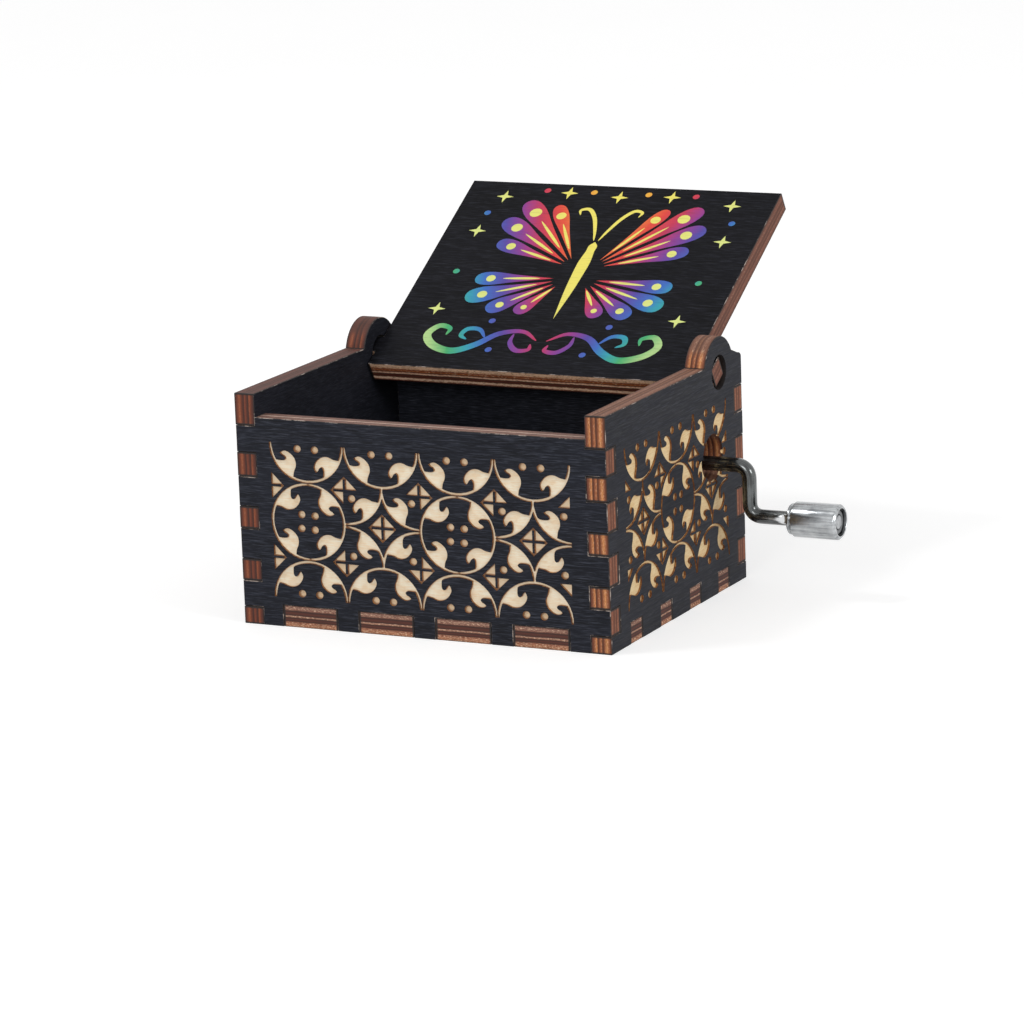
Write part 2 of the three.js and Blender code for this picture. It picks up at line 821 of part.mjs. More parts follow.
function assembleMovement() {
  const movement = new THREE.Group();
  movement.add(named('movement_frame', makeMovementFrame(), castZinc));
  const comb = named('comb', makeComb(), combSteel);
  comb.position.set(0, combY, combBottom);
  movement.add(comb);
  combScrewPlaces().forEach(([x, y], i) => {
    const geometry = makeScrew(
      combScrewHeadRadius,
      combScrewHeadHeight,
      combScrewRadius,
      combScrewLength
    );
    const screw = named(`comb_screw_${i + 1}`, geometry, screwSteel);
    screw.rotation.x = Math.PI / 2;
    screw.position.set(x, y, combBottom + combThickness);
    movement.add(screw);
  });
  baseScrewPlaces().forEach(([x, y], i) => {
    const geometry = makeScrew(
      baseScrewHeadRadius,
      baseScrewHeadHeight,
      baseScrewRadius,
      baseScrewLength
    );
    const screw = named(`movement_screw_${i + 1}`, geometry, screwSteel);
    screw.rotation.x = -Math.PI / 2;
    screw.position.set(x, y, counterboreDepth);
    movement.add(screw);
  });
  movement.add(assembleCylinder(), assembleCrank());
  return movement;
}

const musicBox = new THREE.Group();
musicBox.add(assembleBox(), assembleMovement());

export default musicBox;
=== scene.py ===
# A hand-cranked music box in laser-cut plywood, painted black: an engraved box with
# its lid open, a bent wire crank with a bright knob, and the movement inside.
# Lengths are written in millimetres and become metres where a mesh is made.
import json
import math

import bmesh
import bpy
import numpy as np
from mathutils import Matrix, Vector
from mathutils.geometry import delaunay_2d_cdt


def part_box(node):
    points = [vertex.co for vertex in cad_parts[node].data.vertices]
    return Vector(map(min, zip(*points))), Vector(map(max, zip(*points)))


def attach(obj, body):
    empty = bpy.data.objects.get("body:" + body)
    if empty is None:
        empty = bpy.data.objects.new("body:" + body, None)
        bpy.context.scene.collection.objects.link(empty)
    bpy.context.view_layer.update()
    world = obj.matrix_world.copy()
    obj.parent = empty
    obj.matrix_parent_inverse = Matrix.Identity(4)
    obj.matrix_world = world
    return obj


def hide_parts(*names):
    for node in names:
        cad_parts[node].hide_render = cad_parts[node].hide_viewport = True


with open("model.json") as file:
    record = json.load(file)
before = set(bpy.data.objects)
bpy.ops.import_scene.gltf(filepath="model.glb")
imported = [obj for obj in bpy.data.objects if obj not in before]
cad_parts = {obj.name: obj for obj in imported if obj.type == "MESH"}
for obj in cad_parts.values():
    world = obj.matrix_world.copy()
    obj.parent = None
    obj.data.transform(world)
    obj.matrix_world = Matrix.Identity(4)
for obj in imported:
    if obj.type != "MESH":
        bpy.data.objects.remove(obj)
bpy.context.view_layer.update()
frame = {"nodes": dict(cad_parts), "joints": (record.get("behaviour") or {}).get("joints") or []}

# The front wall. Birch plywood, painted black and cut by laser: fingers at both
# ends, slots over the bottom's tabs, and a scroll lattice engraved through the paint
# into the pale wood, with the cuts' sides and rims burnt brown.
mm = 0.001
bottom_low, bottom_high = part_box("bottom_panel")
sheet = (bottom_high.z - bottom_low.z) / mm
inner_x = bottom_high.x / mm - sheet
inner_y = bottom_high.y / mm - sheet
worn_edge = 0.09
set_back = 0.08
carving_depth = 0.28
arc_turn = math.radians(30)
arc_step = 1.7
arc_parts = 4
straight_within = 0.01
flat_within = 0.001
dark_corner_reach = 0.42
hollow_slope = 1.1
sheet_crease = math.radians(28)


class Flow:
    """A number, colour or vector on its way through a material's nodes."""

    def __init__(self, tree, socket=None):
        self.tree = tree
        self.socket = socket

    def node(self, kind, settings, links, output=0):
        """Adds a node: first its settings, then the values or links of its sockets."""
        made = self.tree.nodes.new(kind)
        for name, value in settings.items():
            if name == "stops":
                stops = made.color_ramp.elements
                while len(stops) < len(value):
                    stops.new(1.0)
                for stop, (place, colour) in zip(stops, value):
                    stop.position = place
                    stop.color = colour
            else:
                setattr(made, name, value)
        for name, value in links.items():
            if isinstance(value, Flow):
                self.tree.links.new(value.socket, made.inputs[name])
            else:
                made.inputs[name].default_value = value
        return Flow(self.tree, made.outputs[output])

    def maths(self, operation, first, second):
        return self.node("ShaderNodeMath", {"operation": operation}, {0: first, 1: second})

    def __add__(self, other):
        return self.maths("ADD", self, other)

    def __sub__(self, other):
        return self.maths("SUBTRACT", self, other)

    def __rsub__(self, other):
        return self.maths("SUBTRACT", other, self)

    def __mul__(self, other):
        return self.maths("MULTIPLY", self, other)

    __radd__ = __add__
    __rmul__ = __mul__

    def step(self, low, high, start=0.0, end=1.0):
        """A smooth step from start to end as the number goes from low to high."""
        settings = {"interpolation_type": "SMOOTHSTEP"}
        links = {0: self, 1: low, 2: high, 3: start, 4: end}
        return self.node("ShaderNodeMapRange", settings, links)

    def blend(self, first, second):
        """The first colour where the number is 0, the second where it is 1."""
        return self.node("ShaderNodeMix", {"data_type": "RGBA"}, {0: self, 6: first, 7: second}, 2)

    def ramp(self, stops):
        return self.node("ShaderNodeValToRGB", {"stops": stops}, {0: self})

    def stretched(self, across, up, out):
        """The place, scaled differently along each of the piece's own axes."""
        settings = {"operation": "MULTIPLY"}
        scale = (across / mm, up / mm, out / mm)
        return self.node("ShaderNodeVectorMath", settings, {0: self, 1: scale})

    def noise(self, detail=3.0, roughness=0.55):
        links = {"Vector": self, "Scale": 1.0, "Detail": detail, "Roughness": roughness}
        return self.node("ShaderNodeTexNoise", {}, links)


def shade(code):
    """A colour written as six hex digits, as the linear numbers that nodes take."""
    parts = [int(code[i : i + 2], 16) / 255 for i in (0, 2, 4)]
    linear = [((p + 0.055) / 1.055) ** 2.4 if p > 0.04045 else p / 12.92 for p in parts]
    return (*linear, 1.0)


def new_finish(name):
    """An empty material, the place on its piece to begin from, and its surface shader."""
    material = bpy.data.materials.new(name)
    material.use_nodes = True
    tree = material.node_tree
    place = Flow(tree).node("ShaderNodeTexCoord", {}, {}, "Object")
    return material, place, tree.nodes["Principled BSDF"]


def connect(surface, **values):
    """Sets the surface's sockets; a name's underscores stand for blanks."""
    for name, value in values.items():
        socket = surface.inputs[name.replace("_", " ")]
        if isinstance(value, Flow):
            value.tree.links.new(value.socket, socket)
        else:
            socket.default_value = value


def bumped(height, depth, strength=1.0):
    """A surface normal that follows a height map of the given depth in millimetres."""
    links = {"Strength": strength, "Distance": depth * mm, "Height": height}
    return height.node("ShaderNodeBump", {}, links)


def painted_ply(name, dark, light, worn, shine, marks=1.0):
    """Black paint that has sunk into the wood, so that its fibres show as fine lines."""
    material, place, surface = new_finish(name)
    cloud = place.stretched(0.05, 0.12, 0.05).noise(3.0)
    grain = place.stretched(0.16, 3.2, 3.2).noise(4.0, 0.6)
    fibre = place.stretched(0.45, 9.0, 9.0).noise(2.0, 0.5)
    scratch = place.stretched(0.30, 6.5, 6.5).noise(5.0, 0.7).step(0.58, 0.74)
    tone = (grain * 0.6 + cloud * 0.4).step(0.3, 0.72)
    colour = tone.blend(shade(dark), shade(light))
    colour = (fibre.step(0.45, 0.8) * (0.5 * marks)).blend(colour, shade(worn))
    colour = (scratch * (0.6 * marks)).blend(colour, shade(worn))
    height = grain * 0.6 + fibre * 0.4
    roughness = grain.step(0.3, 0.7, 0.5, 0.66)
    normal = bumped(height, 0.05 * marks, 0.8)
    connect(surface, Base_Color=colour, Roughness=roughness, Normal=normal)
    connect(surface, Specular_IOR_Level=shine)
    return material


def worn_and_highlit_rim():
    """The cut sheet's rim: dark, with pale patches that are partly paint worn through and partly a
    painted highlight along the edge.
    """
    material, place, surface = new_finish("worn rim")
    rubbed_and_lit = place.stretched(0.35, 0.35, 0.35).noise(5.0, 0.7).step(0.5, 0.64)
    # Pale patches: worn paint, and a painted highlight along the edge.
    colour = rubbed_and_lit.blend(shade("17100e"), shade("b3a49a"))
    connect(surface, Base_Color=colour, Roughness=0.7)
    return material


def ply_edge(name, stops, soot_and_shade, upper_stops=None, sparkle=0.4):
    """The laser-cut edge: layers of veneer, scorched and streaked along the cut, speckled
    where they are pale, and near black at the sharp corners: char, and painted shade in
    the joints between parts. Edges along X can have layers of their own."""
    material, place, surface = new_finish(name)
    across = place.node("ShaderNodeSeparateXYZ", {}, {0: place}, 2)
    wander = place.stretched(0.25, 0.25, 0.6).noise(3.0)
    layer = across * (1 / (sheet * mm)) + (wander - 0.5) * 0.07
    colour = layer.ramp([(share, shade(code)) for share, code in stops])
    if upper_stops:
        facing = place.node("ShaderNodeTexCoord", {}, {}, "Normal")
        upward = facing.node("ShaderNodeSeparateXYZ", {}, {0: facing}, 1)
        upward = upward.maths("ABSOLUTE", upward, 0.0)
        upper = layer.ramp([(share, shade(code)) for share, code in upper_stops])
        colour = upward.step(0.5, 0.8).blend(colour, upper)
    paleness = colour.node("ShaderNodeRGBToBW", {}, {0: colour}).step(0.06, 0.22)
    speckled = paleness * sparkle
    streak = place.stretched(0.12, 0.12, 7.0).noise(4.0, 0.65)
    pulse = place.stretched(4.5, 4.5, 0.25).noise(2.0, 0.5)
    fleck = place.stretched(2.2, 2.2, 7.5).noise(4.0, 0.65)
    blotch = place.stretched(0.3, 0.3, 0.3).noise(4.0, 0.6)
    corner = place.node("ShaderNodeAttribute", {"attribute_name": "corner"}, {}, "Fac")
    gap = corner.step(0.1, 0.65) * 0.97
    colour = (streak.step(0.42, 0.75) * 0.4).blend(colour, shade("3a1d0e"))
    colour = (fleck.step(0.52, 0.64) * speckled).blend(colour, shade("f6d2b0"))
    dark_fleck = fleck.step(0.36, 0.48, 1.0, 0.0) * (0.2 + speckled * 0.5)
    colour = dark_fleck.blend(colour, shade("35190c"))
    colour = (blotch.step(0.45, 0.8) * soot_and_shade).blend(colour, shade("25130b"))
    # Near black at the sharp corners and in the ear's hole: char, and painted shade between parts.
    colour = gap.blend(colour, shade("0b0605"))
    height = streak * 0.5 + pulse * 0.5
    connect(surface, Base_Color=colour, Roughness=0.72, Normal=bumped(height, 0.08, 0.7))
    return material


def carved_floor(name, pale, deep, golden):
    """The engraved wood: pale, golden in patches, with the rim of every cut scorched."""
    material, place, surface = new_finish(name)
    reach = place.node("ShaderNodeAttribute", {"attribute_name": "from_wall"}, {}, "Fac")
    patch = place.stretched(0.5, 0.9, 0.5).noise(4.0, 0.6)
    grain = place.stretched(0.5, 5.0, 5.0).noise(3.0, 0.6)
    wood = grain.step(0.3, 0.75).blend(shade(pale), shade(deep))
    wood = (patch.step(0.48, 0.75) * 0.4).blend(wood, shade(golden))
    warmth = (reach + (patch - 0.5) * 0.6).step(0.05, 0.28, 1.0, 0.0)
    wood = (warmth * 0.35).blend(wood, shade("dca75e"))
    heat = (reach + (patch - 0.5) * 0.1).step(0.0, 0.09, 1.0, 0.0)
    colour = (heat * 0.85).blend(wood, shade("84502a"))
    connect(surface, Base_Color=colour, Roughness=0.8, Normal=bumped(grain, 0.04, 0.6))
    return material


def burnt_wall():
    material, place, surface = new_finish("burnt cut")
    char = place.stretched(1.5, 1.5, 1.5).noise(3.0)
    colour = char.step(0.35, 0.7).blend(shade("6b3d1c"), shade("b07c42"))
    connect(surface, Base_Color=colour, Roughness=0.8)
    return material


def rounded(loop):
    """A loop whose gently turning stretches are arcs, redrawn with finer steps."""
    count = len(loop)
    ways = [(loop[(i + 1) % count] - loop[i]).normalized() for i in range(count)]
    turns = [ways[i - 1].angle_signed(ways[i], 0.0) for i in range(count)]
    finer = []
    for i in range(count):
        a, b = loop[i], loop[(i + 1) % count]
        near = [t for t in (turns[i], turns[(i + 1) % count]) if straight_within < abs(t) < arc_turn]
        finer.append(a)
        if near and (b - a).length < arc_step:
            turn = min(near, key=abs)
            side = Vector((ways[i].y, -ways[i].x))
            for k in range(1, arc_parts):
                share = k / arc_parts
                rise = share * (1 - share) * 4 * math.tan(turn / 4) * (b - a).length / 2
                finer.append(a.lerp(b, share) - side * rise)
    return finer


def face_loops(node, placement, ends):
    """Outline and holes of a flat wall's outer face, in millimetres of its own plane,
    with its fingers' ends set back a little from the faces that they come out of."""
    part = frame["nodes"][node]
    mesh = part.data
    moved = placement.inverted() @ part.matrix_world
    spots = [moved @ v.co / mm for v in mesh.vertices]
    top = max(spot.z for spot in spots)
    keys = [(round(s.x, 3), round(s.y, 3)) for s in spots]
    edges = set()
    for face in mesh.polygons:
        corners = list(face.vertices)
        if all(abs(spots[i].z - top) < flat_within for i in corners):
            names = [keys[i] for i in corners]
            edges.update(zip(names, names[1:] + names[:1]))
    following = {a: b for a, b in edges if (b, a) not in edges}
    loops = []
    while following:
        first, corner = next(iter(following.items()))
        loop = [first]
        del following[first]
        while corner != first:
            loop.append(corner)
            corner = following.pop(corner)
        loops.append(rounded([Vector(p) for p in loop]))
    loops.sort(key=lambda loop: -abs(area(loop)))
    for axis in ends:
        reach = max(p[axis] for p in loops[0]) - set_back
        for point in loops[0]:
            point[axis] = max(-reach, min(reach, point[axis]))
    return loops


def with_dark_corners(loop):
    """The loop with a corner more beside each sharp one, and the sharp ones' numbers."""
    count = len(loop)
    points, sharp = [], set()
    for i in range(count):
        before, after = loop[i] - loop[i - 1], loop[(i + 1) % count] - loop[i]
        if abs(before.angle_signed(after, 0.0)) < arc_turn:
            points.append(loop[i])
            continue
        if before.length > 3 * dark_corner_reach:
            points.append(loop[i] - before.normalized() * dark_corner_reach)
        sharp.add(len(points))
        points.append(loop[i])
        if after.length > 3 * dark_corner_reach:
            points.append(loop[i] + after.normalized() * dark_corner_reach)
    return points, sharp


def area(loop):
    return sum(a.cross(b) for a, b in zip(loop, loop[1:] + loop[:1])) / 2


def drawn_in(loop, distance):
    """A closed loop moved inwards by a distance, which keeps every corner's shape."""
    count = len(loop)
    moved = []
    for i in range(count):
        before = (loop[i] - loop[i - 1]).normalized()
        after = (loop[(i + 1) % count] - loop[i]).normalized()
        left = Vector((-before.y - after.y, before.x + after.x))
        moved.append(loop[i] + left * (distance / (1 + before.dot(after))))
    return moved


def from_border(spots, ends):
    """Each spot's distance from the nearest of the border's pieces."""
    a, b = ends[:, 0], ends[:, 1]
    along = b - a
    nearest = np.empty(len(spots))
    for i, spot in enumerate(spots):
        share = np.clip(((spot - a) * along).sum(1) / (along**2).sum(1), 0, 1)
        nearest[i] = np.hypot(*(a + along * share[:, None] - spot).T).min()
    return nearest


class Sheet:
    """A flat piece cut from plywood: loops[0] is its outline, the others are holes, and
    the last hole may be darkened all round, for char and painted shade. Carvings sink
    into the outer face; guides add corners inside them, and scorch says which of them
    are browner. Prints are shapes with the number of their ink. Local X runs across, Y
    up and Z out of the face."""

    def __init__(
        self,
        loops,
        carvings=(),
        guides=(),
        depth=carving_depth,
        prints=(),
        scorch=None,
        blackened_hole=False,
    ):
        self.true, self.sharp = with_dark_corners(loops[0])
        self.depth = depth
        self.scorch = {}
        holes = [loop[::-1] for loop in loops[1:]]
        shapes = [drawn_in(self.true, worn_edge), *holes, *carvings]
        shapes += [shape for shape, _ in prints]
        scorch = scorch or {}
        points, faces, edges = [], [], []
        for shape in shapes:
            faces.append(list(range(len(points), len(points) + len(shape))))
            points += [Vector(p) for p in shape]
        for guide in guides:
            edges += [(len(points) + i, len(points) + i + 1) for i in range(len(guide) - 1)]
            points += [Vector(p) for p in guide]
        found = delaunay_2d_cdt(points, edges, faces, 1, 1e-4, True)
        self.spots = found[0]
        self.rim = {i: min(s) for i, s in enumerate(found[3]) if s and min(s) < len(self.true)}
        last = len(self.true) + sum(len(hole) for hole in holes)
        first = last - len(holes[-1]) if blackened_hole else last
        self.blackened_hole_marks = {i for i, s in enumerate(found[3]) if s and first <= min(s) < last}
        first_carving = 1 + len(holes)
        first_print = first_carving + len(carvings)
        self.face_kinds, self.sunk = {}, set()
        for corners, sources in zip(found[2], found[5]):
            corners = tuple(corners)
            if 0 not in sources or any(0 < s < first_carving for s in sources):
                continue
            self.face_kinds[corners] = 0
            if any(first_carving <= s < first_print for s in sources):
                self.face_kinds[corners] = 4
                self.sunk.add(corners)
                shares = [scorch.get(s - first_carving, 1) for s in sources]
                self.scorch.update(dict.fromkeys(corners, min(shares)))
            elif max(sources) >= first_print:
                self.face_kinds[corners] = prints[max(sources) - first_print][1]
        self.points, self.chars, self.index, self.faces, self.kinds = [], [], {}, [], []

    def at(self, level, i):
        """The mesh's own number for corner i of the drawing at a level."""
        heights = {"top": sheet, "upper": sheet - worn_edge, "floor": sheet - self.depth}
        heights.update({"lower": worn_edge, "back": 0.0})
        if (level, i) not in self.index:
            flat = self.true[self.rim[i]] if level in ("upper", "lower") else self.spots[i]
            self.index[level, i] = len(self.points)
            self.points.append((flat[0], flat[1], heights[level]))
            # Corners at sharp turns and round the ear's hole are marked for near black: char and
            # painted shade.
            self.chars.append(1.0 if i in self.blackened_hole_marks or self.rim.get(i) in self.sharp else 0.0)
        return self.index[level, i]

    def add(self, kind, corners):
        self.faces.append([self.at(level, i) for level, i in corners])
        self.kinds.append(kind)

    def wall(self, kind, a, b, upper, lower):
        self.add(kind, [(upper, a), (lower, a), (lower, b), (upper, b)])

    def build(self):
        """Faces by kind: 0 outer face, 1 inner face, 2 rim, 3 cut edge, then 4 carved
        floor and 5 carved wall, or the inks."""
        sides = {}
        for corners, kind in self.face_kinds.items():
            level = "floor" if corners in self.sunk else "top"
            self.add(kind, [(level, i) for i in corners])
            self.add(1, [("back", i) for i in corners[::-1]])
            for edge in zip(corners, corners[1:] + corners[:1]):
                sides[edge] = level
        self.border = []
        for (a, b), level in sides.items():
            other = sides.get((b, a))
            if other is None and a in self.rim and b in self.rim:
                self.wall(2, a, b, "top", "upper")
                self.wall(3, a, b, "upper", "lower")
                self.wall(2, a, b, "lower", "back")
            elif other is None:
                self.wall(3, a, b, "floor", "back")
                if level == "top":
                    self.wall(3, a, b, "top", "floor")
            elif level == "top" and other == "floor":
                self.wall(5, a, b, "top", "floor")
                self.border.append((self.spots[a], self.spots[b]))


def make_sheet(name, drawing, placement, finishes):
    """The sheet as an object, with the distance from each carving's wall for its finish.
    The browner a carving is, the deeper its middle."""
    drawing.build()
    points = [Vector(p) for p in drawing.points]
    if drawing.border:
        reach = np.zeros(len(points))
        floor = [(i, n) for (level, i), n in drawing.index.items() if level == "floor"]
        spots = np.array([drawing.spots[i] for i, _ in floor])
        browner = np.array([drawing.scorch.get(i, 1) for i, _ in floor])
        far = from_border(spots, np.array(drawing.border))
        reach[[n for _, n in floor]] = far * browner
        for (_, n), hollow in zip(floor, far * (1 - browner) * hollow_slope):
            points[n].z -= hollow
    mesh = bpy.data.meshes.new(name)
    mesh.from_pydata([p * mm for p in points], [], drawing.faces)
    for finish in finishes:
        mesh.materials.append(finish)
    mesh.polygons.foreach_set("material_index", drawing.kinds)
    mesh.shade_smooth()
    mesh.set_sharp_from_angle(angle=sheet_crease)
    mesh.attributes.new("corner", "FLOAT", "POINT").data.foreach_set("value", drawing.chars)
    if drawing.border:
        mesh.attributes.new("from_wall", "FLOAT", "POINT").data.foreach_set("value", reach)
    piece = bpy.data.objects.new(name, mesh)
    bpy.context.scene.collection.objects.link(piece)
    piece.matrix_world = placement
    return piece


def standing(across, out, x, y):
    """The place of a wall whose drawing runs along across and faces out."""
    columns = Matrix((across, (0, 0, 1), out)).transposed().to_4x4()
    return Matrix.Translation(Vector((x, y, 0)) * mm) @ columns


# The lattice: columns of tangent circles and four-pointed stars between rows of half
# circles, with a leaf in every quadrant, split diamonds between them and round dots.
ring_radius = 6.2
column_pitch = 12.75
row_offset = 12.85
line_width = 0.45
line_tip_share = 0.75
line_growth_share = 0.15
line_steps = 22
star_steps = 12
foot_steps = 7
leaf_back = [(-4.55, -1.65), (-4.1, -1.38), (-3.5, -1.32), (-2.75, -1.68), (-2.1, -2.35)]
leaf_back += [(-1.83, -3.1), (-1.87, -3.85), (-2.2, -4.7), (-2.35, -5.74)]
leaf_front = [(-5.62, -2.62), (-5.2, -2.85), (-4.5, -2.92), (-3.9, -2.86), (-3.62, -2.55)]
leaf_front += [(-3.85, -2.2), (-4.25, -1.98), (-4.55, -1.65)]
star_leaf_share = 0.97
star_radius = 6.42
diamond_reach = 2.35
diamond_gap = 0.2
diamond_tip = 0.5
diamond_lift = 0.5
dot_radius = 0.63
dot_sides = 14
row_dot = (1.5, 0.85)
ring_dot = (1.2, 1.12)
star_dot = (1.25, 1.2)
guide_inset = 0.17
guide_clear_share = 0.8
dot_scorch = 0.33
diamond_scorch = 0.6


def curved(points, parts=4):
    """A smooth line through the points."""
    ends = [Vector(p) for p in points]
    ends = [ends[0] * 2 - ends[1], *ends, ends[-1] * 2 - ends[-2]]
    line = []
    for a, b, c, d in zip(ends, ends[1:], ends[2:], ends[3:]):
        for k in range(parts):
            t = k / parts
            line.append(
                b
                + (c - a) * (t / 2)
                + (a * 2 - b * 5 + c * 4 - d) * (t * t / 2)
                + (b * 3 - a - c * 3 + d) * (t**3 / 2)
            )
    return [*line, ends[-2]]


def arc(centre, radius, start, end, steps):
    turns = [math.radians(start + (end - start) * k / steps) for k in range(steps + 1)]
    return [centre + Vector((math.cos(t), math.sin(t))) * radius for t in turns]


def spin(point, quarter):
    """A point turned about zero by quarter turns."""
    x, y = point
    return [Vector((x, y)), Vector((-y, x)), Vector((-x, -y)), Vector((y, -x))][quarter % 4]


class Lattice:
    """The engraving's shapes, and the guides that follow the middle of each."""

    def __init__(self):
        self.shapes = []
        self.guides = []
        self.scorch = {}

    def shape(self, points, guide=True):
        points = [Vector(p) for p in points]
        if area(points) < 0:
            points.reverse()
        self.shapes.append(points)
        if guide:
            inner = drawn_in(points, guide_inset)
            pieces = np.array(list(zip(points, points[1:] + points[:1])))
            clear = from_border(np.array(inner), pieces) > guide_inset * guide_clear_share
            kept = [p for p, good in zip(inner, clear) if good]
            self.guides.append([*kept, kept[0]])

    def line(self, centre, start, end, radius=ring_radius, steps=line_steps):
        """A line along an arc, which thins out towards both ends."""
        middle = arc(centre, radius, start, end, steps)
        growth = [line_tip_share + line_growth_share * min(k, steps - k) for k in range(steps + 1)]
        halves = [line_width / 2 * min(1, share) for share in growth]
        outer = [p + (p - centre).normalized() * h for p, h in zip(middle, halves)]
        inner = [p - (p - centre).normalized() * h for p, h in zip(middle, halves)]
        self.shape(outer + inner[::-1], False)
        self.guides.append(middle[1:-1])

    def leaf(self, centre, quarter, radius=ring_radius, share=1.0):
        """The leaf of one quadrant, whose foot lies on the line round its centre."""
        start = math.degrees(math.atan2(leaf_back[-1][1], leaf_back[-1][0]))
        end = math.degrees(math.atan2(leaf_front[0][1], leaf_front[0][0]))
        foot = arc(Vector((0, 0)), radius, start, end, foot_steps)
        outline = curved(leaf_back)[:-1] + foot[:-1] + curved(leaf_front)[:-1]
        hub = (foot[foot_steps // 2] + foot[foot_steps // 2 + 1]) / 2
        placed = [hub + (p - hub) * share for p in outline]
        self.shape([centre + spin(p, quarter) for p in placed])

    def dot(self, centre):
        self.scorch[len(self.shapes)] = dot_scorch
        self.shape(arc(centre, dot_radius, 0, 360, dot_sides)[:-1])
        self.guides.append(arc(centre, dot_radius / 4, 0, 360, 4))

    def diamond(self, centre, sides, dotted=None):
        """A diamond whose triangles meet only at the tips; one may be a dot instead."""
        far = diamond_reach - diamond_gap
        near = diamond_reach - diamond_tip
        quarters = [(across, up) for across in sides for up in (-1, 1) if (across, up) != dotted]
        for across, up in quarters:
            self.scorch[len(self.shapes)] = diamond_scorch
            corners = [(diamond_gap, diamond_gap), (far, diamond_gap), (diamond_gap, far)]
            self.shape([centre + Vector((across * x, up * y)) for x, y in corners])
        ways = [(1, -1), (1, 1), (-1, 1), (-1, -1)]
        for quarter in range(4):
            if {ways[quarter], ways[(quarter + 1) % 4]} <= set(quarters):
                tip = [(diamond_reach, 0), (near, diamond_tip), (near, -diamond_tip)]
                self.shape([centre + spin(p, quarter) for p in tip], False)
        if dotted:
            self.dot(centre + Vector((dotted[0] * star_dot[0], dotted[1] * star_dot[1])))

    def half_rows(self, x):
        """The half circles over and under a column, with their leaves and dots."""
        for side in (-1, 1):
            centre = Vector((x, side * row_offset))
            turn = 180 if side > 0 else 0
            self.line(centre, turn, turn + 180)
            for quarter in ((0, 1) if side > 0 else (2, 3)):
                self.leaf(centre, quarter)
            for across in (-1, 1):
                self.dot(centre + Vector((across * row_dot[0], -side * row_dot[1])))

    def circle(self, x):
        centre = Vector((x, 0))
        self.line(centre, -90, 90)
        self.line(centre, 90, 270)
        for quarter in range(4):
            self.leaf(centre, quarter)
            self.dot(centre + spin(ring_dot, quarter))

    def star(self, x):
        half = column_pitch / 2
        for quarter, (across, up) in enumerate([(1, 1), (-1, 1), (-1, -1), (1, -1)]):
            centre = Vector((x + across * half, up * (row_offset - ring_radius)))
            turn = 180 + 90 * quarter
            self.line(centre, turn, turn + 90, star_radius, star_steps)
            self.leaf(centre, quarter, star_radius, star_leaf_share)
        self.diamond(Vector((x, 0)), (-1, 1))

    def between(self, x, sides, star_side):
        """The diamonds between two columns; a dot takes the place next to a star."""
        for up in (-1, 1):
            lift = -diamond_lift if up > 0 else 0
            centre = Vector((x, up * ring_radius + lift))
            self.diamond(centre, sides, (star_side, -up) if star_side else None)

    def placed(self, x, y, stretch, degrees=0.0):
        """The lattice stretched a little, turned a little and moved to its place."""
        turn = Matrix.Rotation(math.radians(degrees), 2) @ Matrix.Diagonal(stretch)
        for lines in (self.shapes, self.guides):
            lines[:] = [[Vector((x, y)) + turn @ p for p in line] for line in lines]
        return self


def lattice(columns, star_first):
    """Columns of circles and stars in turn, with the middle of the drawing at zero."""
    drawn = Lattice()
    for i in range(columns):
        x = (i - (columns - 1) / 2) * column_pitch
        is_star = (i % 2 == 0) == star_first
        drawn.half_rows(x)
        (drawn.star if is_star else drawn.circle)(x)
        edge = x - column_pitch / 2
        if i == 0:
            drawn.between(edge, (1,), 1 if is_star else None)
        else:
            drawn.between(edge, (-1, 1), 1 if is_star else -1)
        if i == columns - 1:
            drawn.between(edge + column_pitch, (-1,), -1 if is_star else None)
    return drawn


black_ply = painted_ply("black painted plywood", "0f1015", "20222b", "565a67", 0.14)
rim = worn_and_highlit_rim()
cream_wood = carved_floor("cream engraved wood", "fff6e0", "fce4c0", "e2b880")
scorched = burnt_wall()
# The end walls' edges are near black at their inner side: painted shadow beside each finger.
end_edge_stops = [(0.0, "080404"), (0.13, "120a07"), (0.18, "74402a"), (0.24, "a96544")]
end_edge_stops += [(0.32, "844a32"), (0.42, "5c2e1c"), (0.52, "925a3e"), (0.62, "5c2e1c")]
end_edge_stops += [(0.74, "844a32"), (0.88, "9d5e40"), (0.95, "5c2e1c"), (1.0, "2a140a")]
end_top_stops = [(0.0, "2a1a14"), (0.1, "6a473d"), (0.3, "8a6254"), (0.4, "3e2720")]
end_top_stops += [(0.48, "dab8a8"), (0.56, "c9a394"), (0.62, "472d25"), (0.78, "8a6355")]
end_top_stops += [(0.92, "7a554a"), (1.0, "2a1a14")]
end_edge = ply_edge("cut edge of the end walls", end_edge_stops, 0.4, end_top_stops)


def stand_for(piece, body, finish_slot, *nodes):
    """The piece moves with a body and is shown in place of the CAD's nodes."""
    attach(piece, body)
    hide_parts(*nodes)


def build_wall(name, node, placement, drawn, paint, edge, wood):
    """An engraved wall; the hole in a side wall's ear is painted near black all round:
    char from the cutting, and painted shade inside the hole.
    """
    loops = face_loops(node, placement, [0])
    carved = drawn.shapes, drawn.guides
    drawing = Sheet(loops, *carved, scorch=drawn.scorch, blackened_hole=len(loops) > 1)
    finishes = [paint, paint, rim, edge, wood, scorched]
    stand_for(make_sheet(name, drawing, placement, finishes), "box", "painted_ply", node)


front_middle = (-0.2, 17.05)
front_stretch = (1.02, 0.97)
front_lean = -0.5
front_place = standing((1, 0, 0), (0, -1, 0), 0, -inner_y)
front_drawn = lattice(4, False).placed(*front_middle, front_stretch, front_lean)
build_wall("front_wall", "front_panel", front_place, front_drawn, black_ply, end_edge, cream_wood)

